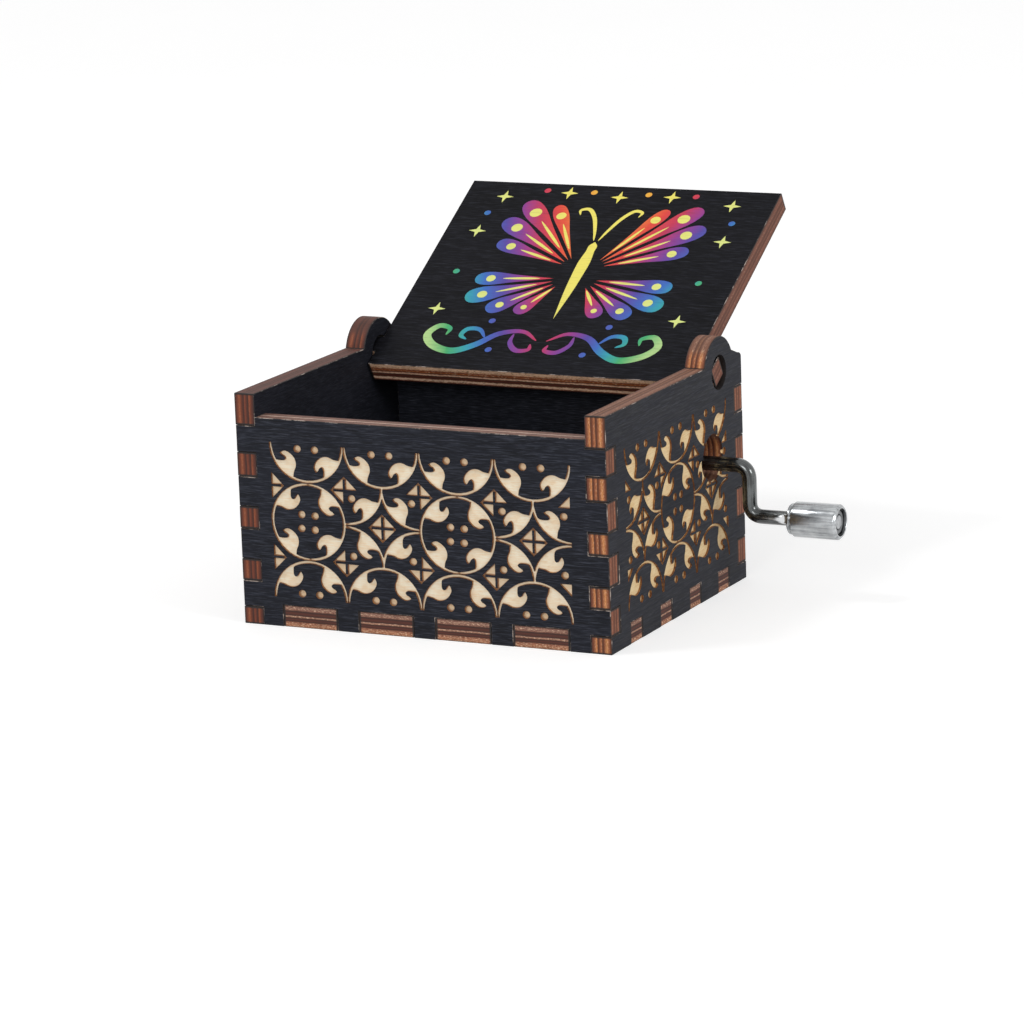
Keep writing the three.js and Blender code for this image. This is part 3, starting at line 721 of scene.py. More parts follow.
# The back wall: the same sheet a little higher, with the same lattice. The open lid
# leans on its top edge.
back_place = standing((-1, 0, 0), (0, 1, 0), 0, inner_y)
back_drawn = lattice(4, False).placed(0, front_middle[1], front_stretch)
build_wall("back_wall", "back_panel", back_place, back_drawn, black_ply, end_edge, cream_wood)

# The side walls: notched for the end walls' fingers, with a round ear over the hole
# that the lid's tabs turn in. The right one has the crank's hole, cut through the
# lattice after the engraving.
side_edge_stops = [(0.0, "1c0e07"), (0.06, "623020"), (0.14, "8e5130"), (0.25, "dc8c52")]
side_edge_stops += [(0.30, "45200f"), (0.38, "7a4024"), (0.47, "b86e42"), (0.54, "421e10")]
side_edge_stops += [(0.63, "8e4e2c"), (0.74, "e09458"), (0.85, "9e5a36"), (0.93, "5c2e16")]
side_edge_stops += [(1.0, "1c0e07")]
side_top_stops = [(0.0, "2a1a14"), (0.1, "7a4f3c"), (0.28, "8f6450"), (0.36, "5a3628")]
side_top_stops += [(0.48, "86593f"), (0.56, "5a3628"), (0.7, "8f6450"), (0.9, "7a4f3c")]
side_top_stops += [(1.0, "2a1a14")]
left_shade_tint = (0.68, 0.54, 0.53)
side_middle = (-0.1, 18.15)
side_stretch = (1.02, 0.995)


def tinted(stops, tint):
    """The same layers, each colour lessened by the tint's red, green and blue."""
    shares = [(place, [int(code[i : i + 2], 16) for i in (0, 2, 4)]) for place, code in stops]
    return [(place, "".join(f"{round(p * t):02x}" for p, t in zip(c, tint))) for place, c in shares]


right_edge = ply_edge("cut edge of the right wall", side_edge_stops, 0.15, side_top_stops)
# The left wall's edges: a darker copy of the right's layers with more dark blotches, as painted shade.
left_stops = tinted(side_edge_stops, left_shade_tint), tinted(side_top_stops, left_shade_tint)
left_edge = ply_edge("cut edge of the left wall", left_stops[0], 0.5, left_stops[1])
side_paint = painted_ply("black paint of the side walls", "111218", "21222a", "5a5d6a", 0.14, 0.5)
golden_wood = carved_floor("golden engraved wood", "fae2b4", "ecca94", "c89658")
right_place = standing((0, 1, 0), (1, 0, 0), inner_x, 0)
right_drawn = lattice(3, True).placed(*side_middle, side_stretch)
right_finishes = side_paint, right_edge, golden_wood
build_wall("right_wall", "right_side_panel", right_place, right_drawn, *right_finishes)
left_place = standing((0, -1, 0), (-1, 0, 0), -inner_x, 0)
left_drawn = lattice(3, True).placed(0, side_middle[1], side_stretch)
left_finishes = side_paint, left_edge, golden_wood
build_wall("left_wall", "left_side_panel", left_place, left_drawn, *left_finishes)

# The bottom: the same black plywood, held by its tabs in the walls' slots, with four
# counterbored holes from below for the movement's screws.
shank_share = 0.52
counterbore_depth = 1.5
bottom_place = Matrix.Translation(Vector((0, 0, sheet)) * mm) @ Matrix.Diagonal((1, -1, -1, 1))
tab_stops = [(0.0, "2a160c"), (0.05, "7e5446"), (0.13, "a67a68"), (0.22, "8a5a4a")]
tab_stops += [(0.27, "260f08"), (0.35, "582618"), (0.42, "482014"), (0.465, "2c120a")]
tab_stops += [(0.495, "c08e76"), (0.535, "a8745c"), (0.57, "2c120a"), (0.65, "582618")]
tab_stops += [(0.72, "300f06"), (0.77, "a0644a"), (0.88, "bc7c5a"), (0.96, "a06848")]
tab_stops += [(1.0, "2a160c")]
tab_edge = ply_edge("cut edge of the bottom", tab_stops, 0.3, sparkle=1.0)
outline, *bores = face_loops("bottom_panel", bottom_place, [0, 1])
shanks = []
for bore in bores:
    centre = sum(bore, Vector((0, 0))) / len(bore)
    shanks.append([centre + (p - centre) * shank_share for p in bore])
sunk_bores = [bore[::-1] for bore in bores]
bottom = Sheet([outline, *shanks], sunk_bores, depth=counterbore_depth)
finishes = [black_ply, black_ply, rim, tab_edge, scorched, scorched]
stand_for(make_sheet("bottom", bottom, bottom_place, finishes), "box", "painted_ply", "bottom_panel")

# The lid: plywood again, with two square tabs that turn in the ears' round holes. Its
# inner face carries a print in blended inks: a butterfly of drops over a wave of
# scrolls, with small stars above.
joint_places = {joint["name"]: Vector(joint["pos_m"]) / mm for joint in frame["joints"]}
hinge = joint_places["lid_hinge"]
lid_angle = math.radians(30)
lid_place = Matrix.Translation(hinge * mm) @ Matrix.Rotation(lid_angle, 4, "X")
lid_place = lid_place @ Matrix.Translation(Vector((0, 0, -sheet / 2)) * mm)
lid_tint = (0.9, 0.8, 0.78)
lid_end_stops = [(0.0, "3a2016"), (0.1, "7a4e38"), (0.3, "966650"), (0.38, "623826")]
lid_end_stops += [(0.5, "8a5c44"), (0.6, "623826"), (0.75, "966650"), (0.92, "7a4e38")]
lid_end_stops += [(1.0, "2a1810")]
# The lid's long edges get pale layers far brighter than its ends': painted light on edges that lie in
# shade.
lid_long_lit_stops = [(0.0, "20100a"), (0.08, "5a2a1a"), (0.12, "e0a888"), (0.2, "ffdcc0")]
lid_long_lit_stops += [(0.25, "b07050"), (0.29, "2c120a"), (0.37, "642c16"), (0.45, "34140a")]
lid_long_lit_stops += [(0.49, "ffd0b0"), (0.54, "d89878"), (0.58, "48200e"), (0.66, "b05c28")]
lid_long_lit_stops += [(0.73, "7a3a18"), (0.78, "e8a880"), (0.88, "ffd2ae"), (0.97, "ffc8a0")]
lid_long_lit_stops += [(1.0, "8a5c48")]
lid_ends = tinted(lid_end_stops, lid_tint)
lid_edge = ply_edge("cut edge of the lid", lid_ends, 0.3, lid_long_lit_stops, 0.9)
lid_black = painted_ply("black of the lid", "0a0a0c", "15151a", "3c3d46", 0.06)
inks = [(0.0, "f7e552"), (0.11, "f6b436"), (0.21, "ef7a2c"), (0.31, "e23c2c")]
inks += [(0.41, "c4224e"), (0.51, "8a2a8c"), (0.6, "4c3a9e"), (0.7, "2d64bd")]
inks += [(0.79, "1f9db0"), (0.89, "3bab66"), (1.0, "b5d98c")]
hue_top = 38
hue_across = 0.03
hue_down = 0.011
upper_root = Vector((1.3, 21.2))
upper_cells = [(13, 26, 17), (27.5, 40.5, 20.5), (42, 54, 22), (55.5, 66, 18)]
lower_root = Vector((1.3, 18.6))
lower_cells = [(-11, 3, 16.5), (-28, -12.5, 17.5), (-46, -29.5, 14.5), (-66, -47.5, 11)]
wing_start = 2.6
spot_place_share = 0.83
spot_size_share = 0.05
vein_shares = (0.3, 0.42, 0.55, 0.7)
vein_width = 0.55
body_line = [(0, 28), (0.75, 27), (0.75, 25.6), (1.05, 23), (1.0, 20), (0.7, 15), (0, 8.5)]
feeler = [(0.4, 28.3), (1.2, 31), (2.5, 34.2), (4.1, 36.2), (5.6, 35.9), (5.3, 34.7)]
feeler_width = 0.75
ribbon_tip_share = 0.1
ribbon_swell = 0.6
scrolls = [([(0.9, 3), (4, 5), (8, 4.2), (11.2, 1.2), (14.8, -0.6), (18.6, 0.5)], 1.5)]
scrolls[0][0].extend([(20.6, 3), (19.3, 5.3), (17.2, 4.8), (17.3, 3.2)])
scrolls += [([(10.1, 2.9), (11.8, 4.9), (14, 4.9), (14.6, 3.3), (13.3, 2.4)], 1.0)]
scrolls += [([(5.4, 4.4), (5.3, 2.2), (3.6, 0.4), (1.5, 0.7), (1.6, 2.1)], 1.0)]
star_places = [(0, 39.6), (9.4, 40.2), (20.8, 38.6), (22.3, 29.5), (21.6, 9.5)]
star_reaches = (1.6, 0.5)
pearl_places = [(8.4, 0.2), (22.3, 34.2), (5, 40.6), (13.6, 40.6), (21.9, 19), (10.5, 7.2)]
pearl_radius = 0.6
on_middle = 0.2


def ink(name, colour_of):
    material, place, surface = new_finish(name)
    axes = place.node("ShaderNodeSeparateXYZ", {}, {0: place})
    height = place.node("ShaderNodeSeparateXYZ", {}, {0: place}, 1)
    far = axes.maths("ABSOLUTE", axes, 0.0)
    hue = far * (hue_across / mm) + (hue_top * mm - height) * (hue_down / mm)
    mottle = place.stretched(0.9, 1.6, 1.0).noise(4.0, 0.6)
    soak = place.stretched(0.3, 5.0, 1.0).noise(3.0, 0.6)
    colour = colour_of(hue + (mottle - 0.5) * 0.06)
    colour = (soak.step(0.5, 0.85) * 0.45).blend(colour, shade("1a1a20"))
    connect(surface, Base_Color=colour, Roughness=0.55, Normal=bumped(soak, 0.04, 0.6))
    return material


def about(centre, radius, degrees):
    turn = math.radians(degrees)
    return centre + Vector((math.cos(turn), math.sin(turn))) * radius


def wing_drop(root, start, end, near, far):
    """A drop that widens away from the wing's root and ends round."""
    outline = [(near, 0.5), (far * 0.55, 0.1), (far * 0.82, 0.0), (far * 0.96, 0.17), (far, 0.5)]
    outline += [(far * 0.96, 0.83), (far * 0.82, 1.0), (far * 0.55, 0.9), (near, 0.5)]
    return curved([about(root, r, start + (end - start) * s) for r, s in outline], 3)[:-1]


def ribbon(points, width):
    """A band along a smooth line, pointed at both ends."""
    middle = curved(points, 5)
    last = len(middle) - 1
    growth = 1 - ribbon_tip_share
    left, right = [], []
    for i, p in enumerate(middle):
        way = (middle[min(i + 1, last)] - middle[max(i - 1, 0)]).normalized()
        swell = math.sin(math.pi * i / last) ** ribbon_swell
        half = width / 2 * (ribbon_tip_share + growth * swell)
        left.append(p + Vector((-way.y, way.x)) * half)
        right.append(p - Vector((-way.y, way.x)) * half)
    return left + right[::-1]


blended, pale = 4, 5
half_print = []
for root, cells in ((upper_root, upper_cells), (lower_root, lower_cells)):
    for start, end, far in cells:
        middle = (start + end) / 2
        half_print.append((wing_drop(root, start, end, wing_start, far), blended))
        spot = about(root, far * spot_place_share, middle)
        half_print.append((arc(spot, far * spot_size_share, 0, 360, dot_sides)[:-1], pale))
        vein = [about(root, far * share, middle) for share in vein_shares]
        half_print.append((ribbon(vein, vein_width), pale))
half_print.append((ribbon(feeler, feeler_width), pale))
half_print += [(ribbon(points, width), blended) for points, width in scrolls]
for place in star_places:
    points = [about(Vector(place), star_reaches[k % 2], 90 + 45 * k) for k in range(8)]
    half_print.append((points, pale))
for place in pearl_places:
    half_print.append((arc(Vector(place), pearl_radius, 0, 360, 12)[:-1], blended))
mirrored = []
for shape, kind in half_print:
    if shape[0].x > on_middle:
        mirrored.append(([Vector((-p.x, p.y)) for p in shape], kind))
body_side = curved(body_line, 3)
body_shape = body_side + [Vector((-p.x, p.y)) for p in body_side[-2:0:-1]]
prints = [*half_print, *mirrored, (body_shape, pale)]
prints = [(shape if area(shape) > 0 else shape[::-1], kind) for shape, kind in prints]
ink_stops = [(share, shade(code)) for share, code in inks]
yellows = shade("f6e766"), shade("dfe98a")
blended_inks = ink("blended inks", lambda hue: hue.ramp(ink_stops))
pale_ink = ink("pale yellow ink", lambda hue: hue.step(0.1, 0.9).blend(*yellows))
lid = Sheet(face_loops("lid", lid_place, []), prints=prints)
finishes = [lid_black, lid_black, rim, lid_edge, blended_inks, pale_ink]
stand_for(make_sheet("open_lid", lid, lid_place, finishes), "lid", "painted_ply", "lid")

# The movement's frame: one zinc casting with posts for the arbor and pillars for the
# crank's shaft, screwed to the bottom through its bosses.


def metal(name, dark, light, marks, roughness, depth=0.02, coat=0.0, spot=None, on_wire=False):
    """Bare metal whose marks run as the stretching says, with a faint cloud over it, and
    another colour where the mesh is marked. On bent wire the marks follow the bends."""
    material, place, surface = new_finish(name)
    if on_wire:
        place = place.node("ShaderNodeAttribute", {"attribute_name": "course"}, {}, "Vector")
    fine = place.stretched(*marks).noise(4.0, 0.6)
    cloud = place.stretched(0.25, 0.25, 0.25).noise(4.0, 0.6)
    colour = (fine * 0.5 + cloud * 0.5).step(0.32, 0.68).blend(shade(dark), shade(light))
    if spot:
        marked = place.node("ShaderNodeAttribute", {"attribute_name": "spot"}, {}, "Fac")
        colour = marked.blend(colour, shade(spot))
    polish = (fine * 0.5 + cloud * 0.5).step(0.3, 0.7, roughness, roughness * 1.6)
    connect(surface, Base_Color=colour, Metallic=1.0, Roughness=polish)
    connect(surface, Normal=bumped(fine, depth, 0.6), Coat_Weight=coat, Coat_Roughness=0.06)
    return material


def dress(finish, *nodes):
    """Gives CAD nodes that are shown as they are their finish."""
    for node in nodes:
        mesh = frame["nodes"][node].data
        for i in range(len(mesh.materials)):
            mesh.materials[i] = finish


cast_zinc = metal("cast zinc", "6f7072", "8f9193", (2.2, 2.2, 2.2), 0.42, 0.06)
dress(cast_zinc, "movement_frame")

# The cylinder: a drum of thin brass set with steel pins, closed by a cap at each end,
# on a steel arbor that a spring clip keeps in the frame. Every tooth of the comb has
# its own track of pins.
arbor_line = joint_places["cylinder_turn"]
drum_centre = Vector((arbor_line.x, 0, arbor_line.z))
drum_ends = (-10.05, 10.35)
drum_radius = 6.4
drum_wall = 0.7
drum_margin = 0.75
pin_radius = 0.22
pin_reach = 7.2
pin_tip = [(0.14, 1), (0.04, 0.75), (0.0, 0.35)]
pin_sides = 10
tracks = 18
track_pitch = 1.05
track_turn = 2.4
fewest_notes = 3
note_wander = 0.8
wander_by_track = 7.3
wander_by_note = 4.1
drum_sides = 120
pivot_sides = 48
front_cap_profile = [(1.1, -11.4), (2.2, -11.4), (2.2, -10.05), (5.6, -10.05), (5.6, -9.05)]
front_cap_profile += [(1.1, -9.05)]
rear_cap_profile = [(1.1, 9.05), (5.6, 9.05), (5.6, 10.05), (1.1, 10.05)]
arbor_profile = [(0.1, -14.6), (1, -14.6), (1, 18.15), (1.8, 18.15), (1.8, 18.95), (0.1, 18.95)]
arbor_clip_profile = [(1.1, -14.1), (2, -14.1), (2, -13.5), (1.1, -13.5)]
clip_mouth = 70
corner_share = 0.4
corner_steps = 3
metal_crease = math.radians(32)


def bent(a, b, c, steps):
    """A smooth bend from a to c round the corner b."""
    shares = [k / steps for k in range(steps + 1)]
    return [a * (1 - t) ** 2 + b * 2 * t * (1 - t) + c * t * t for t in shares]


def softened(profile, radius):
    """A closed profile whose corners are rounded off a little."""
    points = [Vector(p) for p in profile]
    soft = []
    for before, corner, after in zip([points[-1], *points], points, [*points[1:], points[0]]):
        shorter = min((before - corner).length, (after - corner).length)
        near = min(radius, shorter * corner_share)
        a = corner + (before - corner).normalized() * near
        c = corner + (after - corner).normalized() * near
        soft += bent(a, corner, c, corner_steps)
    return soft


def hoops(rings, closed=False):
    """A skin over rings of corners; the first and last are capped, or joined."""
    sides = len(rings[0])
    corners = [p for ring in rings for p in ring]
    faces = []
    for k in range(len(rings) if closed else len(rings) - 1):
        a, b = k * sides, (k + 1) % len(rings) * sides
        faces += [(a + i, a + (i + 1) % sides, b + (i + 1) % sides, b + i) for i in range(sides)]
    if not closed:
        faces += [tuple(range(sides)), tuple(range(len(corners) - sides, len(corners)))]
    return corners, faces


def turned(profile, centre, axis, sides, corner=0.08, mouth=0):
    """A closed profile of radius and distance along, swept about an axis. A mouth in
    degrees leaves the sweep open, as a spring clip is."""
    along = Vector(axis)
    up = Vector((0, 0, 1)) if along.z == 0 else Vector((1, 0, 0))
    side = up.cross(along)
    soft = softened(profile, corner)
    first = math.radians(mouth / 2)
    step = (2 * math.pi - 2 * first) / sides
    rings = []
    for k in range(sides + 1 if mouth else sides):
        out = up * math.cos(first + step * k) + side * math.sin(first + step * k)
        rings.append([centre + out * p.x + along * p.y for p in soft])
    return hoops(rings, closed=not mouth)


def solid(name, parts, finish):
    """One piece out of closed skins, smooth but for its edges."""
    corners, faces, owners = [], [], []
    finishes = finish if isinstance(finish, list) else [finish] * len(parts)
    for (points, polygons), own in zip(parts, finishes):
        first = len(corners)
        corners += [p * mm for p in points]
        faces += [[first + i for i in polygon] for polygon in polygons]
        owners += [own] * len(polygons)
    mesh = bpy.data.meshes.new(name)
    mesh.from_pydata(corners, [], faces)
    names = list(dict.fromkeys(own.name for own in owners))
    for own in names:
        mesh.materials.append(bpy.data.materials[own])
    mesh.polygons.foreach_set("material_index", [names.index(own.name) for own in owners])
    tidy = bmesh.new()
    tidy.from_mesh(mesh)
    bmesh.ops.recalc_face_normals(tidy, faces=tidy.faces)
    tidy.to_mesh(mesh)
    tidy.free()
    mesh.shade_smooth()
    mesh.set_sharp_from_angle(angle=metal_crease)
    piece = bpy.data.objects.new(name, mesh)
    bpy.context.scene.collection.objects.link(piece)
    return piece


def pin(track, note, notes):
    """One pin, which stands out of the drum's skin with a rounded tip."""
    wander = (1 + math.sin(track * wander_by_track + note * wander_by_note)) / 2
    place = 2 * math.pi * (note + note_wander * wander) / notes + track * track_turn
    out = Vector((math.cos(place), 0, math.sin(place)))
    side = Vector((0, 1, 0))
    foot = drum_centre + side * (drum_ends[0] + drum_margin + (track + 0.5) * track_pitch)
    steps = [(drum_radius - drum_wall / 2, 1)]
    steps += [(pin_reach - short, share) for short, share in pin_tip]
    rings = []
    for reach, share in steps:
        turns = [2 * math.pi * k / pin_sides for k in range(pin_sides)]
        ways = [side * math.cos(t) + out.cross(side) * math.sin(t) for t in turns]
        rings.append([foot + out * reach + way * (pin_radius * share) for way in ways])
    return hoops(rings)


brass = metal("brass", "8a6a2e", "b8934a", (0.35, 5.0, 0.35), 0.24, 0.008)
cap_brass = metal("brass of the caps", "7c5f2a", "a88542", (3.0, 0.4, 3.0), 0.3)
bright_steel = metal("bright steel", "76797b", "9b9ea0", (1.2, 1.2, 1.2), 0.24, 0.01)
inner = drum_radius - drum_wall
drum_profile = [(inner, drum_ends[0]), (drum_radius, drum_ends[0])]
drum_profile += [(drum_radius, drum_ends[1]), (inner, drum_ends[1])]
along_y = (0, 1, 0)
skins = [turned(drum_profile, drum_centre, along_y, drum_sides)]
for track in range(tracks):
    notes = fewest_notes + track * 5 % 4
    skins += [pin(track, note, notes) for note in range(notes)]
finishes = [brass] + [bright_steel] * (len(skins) - 1)
stand_for(solid("pinned_drum", skins, finishes), "cylinder", "brass", "cylinder")
for name, profile, finish, slot, node in (
    ("front_cap", front_cap_profile, cap_brass, "brass", "cylinder_front_cap"),
    ("rear_cap", rear_cap_profile, cap_brass, "brass", "cylinder_rear_cap"),
    ("arbor", arbor_profile, bright_steel, "dark_steel", "cylinder_arbor"),
):
    piece = solid(name, [turned(profile, drum_centre, along_y, pivot_sides)], finish)
    stand_for(piece, "cylinder", slot, node)
clip = turned(arbor_clip_profile, drum_centre, along_y, pivot_sides, 0.08, clip_mouth)
stand_for(solid("arbor_spring_clip", [clip], bright_steel), "cylinder", "screw_steel", "arbor_clip")

# The drive: a brass worm fixed on the crank's shaft turns a moulded nylon wheel of
# twenty-two leaning teeth on the cylinder's arbor.
shaft_line = joint_places["crank_turn"]
worm_centre = Vector((arbor_line.x, shaft_line.y, shaft_line.z))
worm_pitch = 1.728
thread_half = 3.65
thread_section = [(-0.5, 1.61), (-0.27, 1.61), (-0.185, 2.3), (-0.11, 2.73), (-0.08, 2.79)]
thread_section += [(0.08, 2.79), (0.11, 2.73), (0.185, 2.3), (0.27, 1.61), (0.5, 1.61)]
thread_core = 1.35
thread_steps = 56
run_out = 0.3
collars = [(-6.69, -4.4), (4.4, 6.69)]
collar_radius = 2.3
collar_rounding = 0.15
worm_bore = 1.275
core_radii = (1.2, 1.62)
core_overlap = 0.3
least_thread = 0.02
wheel_teeth = 22
wheel_centre = Vector((arbor_line.x, shaft_line.y, arbor_line.z))
tooth_half = [(0.46, 5.31), (0.36, 5.7), (0.311, 6.05), (0.21, 6.36), (0.12, 6.49)]
tooth_lean = 0.0193
wheel_layers = [(-1, -0.14), (-0.86, 0), (0, 0), (0.86, 0), (1, -0.14)]
wheel_hub = [(1.1, -3.4), (3, -3.4), (3, 2), (1.1, 2)]


def worm_thread():
    """The thread as one long ridge, which runs out to nothing at both ends."""
    turns = 2 * thread_half / worm_pitch
    count = round(turns * thread_steps)
    sections = []
    for k in range(count + 1):
        turn = turns * (k / count - 0.5)
        from_end = min(k, count - k) / count * turns
        height = max(least_thread, min(1, from_end / run_out))
        angle = 2 * math.pi * turn
        out = Vector((0, -math.sin(angle), math.cos(angle)))
        root = thread_section[0][1]
        outer = [(share, root + (radius - root) * height) for share, radius in thread_section]
        loop = [*outer, (0.5, thread_core), (-0.5, thread_core)]
        start = worm_centre + Vector((turn * worm_pitch, 0, 0))
        sections.append([start + Vector((share * worm_pitch, 0, 0)) + out * r for share, r in loop])
    return hoops(sections)


def toothed_wheel():
    rings = []
    for along, growth in wheel_layers:
        ring = []
        for tooth in range(wheel_teeth):
            middle = math.pi / 2 + 2 * math.pi * tooth / wheel_teeth - tooth_lean * along
            flank = [(-half, radius) for half, radius in tooth_half]
            for half, radius in flank + [(-half, radius) for half, radius in flank[::-1]]:
                turn = middle + half / radius
                out = Vector((math.cos(turn), 0, math.sin(turn)))
                ring.append(wheel_centre + Vector((0, along, 0)) + out * (radius + growth))
        rings.append(ring)
    return hoops(rings)


along_x = (1, 0, 0)
core_ends = collars[0][1] - core_overlap, collars[1][0] + core_overlap
core = [(core_radii[0], core_ends[0]), (core_radii[1], core_ends[0])]
core += [(core_radii[1], core_ends[1]), (core_radii[0], core_ends[1])]
skins = [worm_thread(), turned(core, worm_centre, along_x, pivot_sides)]
for low, high in collars:
    profile = [(worm_bore, low), (collar_radius, low), (collar_radius, high), (worm_bore, high)]
    skins.append(turned(profile, worm_centre, along_x, pivot_sides, collar_rounding))
worm_brass = metal("brass of the worm", "8a6a2e", "b8934a", (5.0, 0.4, 0.4), 0.24, 0.008)
stand_for(solid("worm_gear", skins, worm_brass), "crank", "brass", "worm")
nylon, nylon_place, nylon_surface = new_finish("ivory nylon")
milk = nylon_place.stretched(0.4, 0.4, 0.4).noise(4.0, 0.6)
pores = nylon_place.stretched(3.0, 3.0, 3.0).noise(3.0, 0.5)
nylon_colour = milk.step(0.3, 0.7).blend(shade("e9e3d2"), shade("d9d0ba"))
connect(nylon_surface, Base_Color=nylon_colour, Roughness=milk.step(0.3, 0.7, 0.34, 0.5))
connect(nylon_surface, Normal=bumped(pores, 0.02, 0.4))
skins = [toothed_wheel(), turned(wheel_hub, wheel_centre, along_y, pivot_sides, 0.2)]
stand_for(solid("toothed_wheel", skins, nylon), "cylinder", "wheel_nylon", "worm_wheel")

# The comb: hardened steel with eighteen teeth, held on the frame by two slotted
# screws; four more screws in the bottom's counterbores hold the frame from below.
comb_steel = metal("comb steel", "5d6063", "85898c", (0.5, 7.0, 7.0), 0.24)
dress(comb_steel, "comb")
comb_screws = [(-15.5, -5.35), (-15.5, 5.65)]
base_screws = [(-16.7, -10.9), (16.69, -10.9), (-16.7, 15.05), (16.69, 15.05)]
comb_screw_sizes = dict(z=13.6, up=1, radius=2, height=1.3, shank=1.1, length=5)
base_screw_sizes = dict(z=1.5, up=-1, radius=2.1, height=1.2, shank=0.95, length=5.2)
screw_slot = 0.5
screw_sides = 40
head_steps = ((0.45, 0), (0.93, 0), (1, 0.1))


def slotted_screw(x, y, z, up, radius, height, shank, length):
    """A screw whose head stands from z by its height, up or down."""
    axis = (0, 0, up)
    centre = Vector((x, y, z))
    lower = [(0.1, -length), (shank, -length), (shank, 0), (radius, 0)]
    lower += [(radius, height / 2), (0.1, height / 2)]
    parts = [turned(lower, centre, axis, screw_sides)]
    edge = math.degrees(math.asin(screw_slot / 2 / radius))
    for start in (edge, 180 + edge):
        half = arc(Vector((0, 0)), radius, start, start + 180 - 2 * edge, screw_sides // 2)
        rings = []
        for share, inset in head_steps:
            shape = drawn_in(half, inset)
            rings.append([centre + Vector((p.x, p.y, up * height * share)) for p in shape])
        parts.append(hoops(rings))
    return parts


screw_steel = metal("bright screw steel", "76797b", "9b9ea0", (4.0, 0.6, 1.0), 0.26)
for i, (x, y) in enumerate(comb_screws, 1):
    skins = slotted_screw(x, y, **comb_screw_sizes)
    stand_for(solid(f"comb_bolt_{i}", skins, screw_steel), "box", "screw_steel", f"comb_screw_{i}")
for i, (x, y) in enumerate(base_screws, 1):
    skins = slotted_screw(x, y, **base_screw_sizes)
    stand_for(solid(f"base_bolt_{i}", skins, screw_steel), "box", "screw_steel", f"movement_screw_{i}")

# The crank: one steel wire, bent twice, blackened and polished, pinched bare beside the
# knob so that it can't slide, with a spring clip inside the frame's pillar.
wire_radius = 1.175
wire_sides = 40
handle_line = joint_places["knob_spin"]
arm_x = 38.2
bend = 2.3
wire_ends = (-2.09, 53.4)
flat_margin = 0.01
bare_end = 1.2
tail_rounding = [(0.0, 0.7), (0.3, 0.95), (0.6, 1)]
tip_rounding = [(bare_end, 1), (0.25, 1), (0.08, 0.93), (0.0, 0.75)]
bend_steps = 14
pinch = {42.7: 1.0, 43.3: 0.96, 43.9: 0.88, 44.3: 0.76, 44.5: 0.76, 44.8: 0.99}
crank_clip_profile = [(1.275, -0.89), (2.175, -0.89), (2.175, -0.29), (1.275, -0.29)]


def on_shaft(x):
    return Vector((x, shaft_line.y, shaft_line.z))


def on_handle(x):
    return Vector((x, shaft_line.y, handle_line.z))


rightwards = Vector((bend, 0, 0))
downwards = Vector((0, 0, -bend))
upper, lower = on_shaft(arm_x), on_handle(arm_x)
first, last = wire_ends
spine = [(on_shaft(first + far), share) for far, share in tail_rounding]
spine += [(p, 1) for p in bent(upper - rightwards, upper, upper + downwards, bend_steps)]
spine += [(p, 1) for p in bent(lower - downwards, lower, lower + rightwards, bend_steps)]
spine += [(on_handle(x), 1) for x in [*pinch, last - bare_end]]
tip = [(on_handle(last - short), share) for short, share in tip_rounding]


def wire(steps):
    """A round wire along the steps, each a place and a share of the radius, with two
    flats where it is pinched."""
    rings = []
    for i, (centre, share) in enumerate(steps):
        way = (steps[min(i + 1, len(steps) - 1)][0] - steps[max(i - 1, 0)][0]).normalized()
        side = Vector((0, 1, 0))
        turns = [2 * math.pi * k / wire_sides for k in range(wire_sides)]
        ways = [side * math.cos(t) + way.cross(side) * math.sin(t) for t in turns]
        ring = [way * (wire_radius * share) for way in ways]
        flat = pinch.get(round(centre.x, 2), 1) * wire_radius
        for out in ring:
            out.y = max(-flat, min(flat, out.y))
        rings.append([centre + out for out in ring])
    return hoops(rings)


def mark_spots(piece, chosen):
    """Marks the corners that the test picks, for a finish with another colour there."""
    marks = [float(chosen(v.co / mm)) for v in piece.data.vertices]
    piece.data.attributes.new("spot", "FLOAT", "POINT").data.foreach_set("value", marks)


def is_flat(spot):
    """Whether a corner of the wire lies on one of the pinched flats."""
    flat = pinch.get(round(spot.x, 2))
    return flat is not None and abs(spot.y - shaft_line.y) > flat * wire_radius - flat_margin


# Its light streaks along the wire are partly drawing marks and partly painted reflection.
crank_steel = metal(
    "blackened crank steel",
    "1a1c1c",
    "6e7272",
    (4.0, 4.0, 0.15),
    0.2,
    depth=0.006,
    coat=1.0,
    spot="d4d6d8",
    on_wire=True,
)
bare_steel = metal("bare end of the wire", "9a9c9e", "bcbec0", (2.0, 2.0, 2.0), 0.25)
crank = solid("crank_wire", [wire(spine), wire(tip)], [crank_steel, bare_steel])
course = []
run = 0.0
before = spine[0][0]
for centre, _ in [*spine, *tip]:
    run += (centre - before).length
    before = centre
    for k in range(wire_sides):
        turn = 2 * math.pi * k / wire_sides
        course += [wire_radius * math.cos(turn) * mm, wire_radius * math.sin(turn) * mm, run * mm]
crank.data.attributes.new("course", "FLOAT_VECTOR", "POINT").data.foreach_set("vector", course)
mark_spots(crank, is_flat)
stand_for(crank, "crank", "dark_steel", "crank")
clip = turned(crank_clip_profile, on_shaft(0), along_x, pivot_sides, 0.08, clip_mouth)
stand_for(solid("crank_spring_clip", [clip], bright_steel), "crank", "screw_steel", "crank_clip")

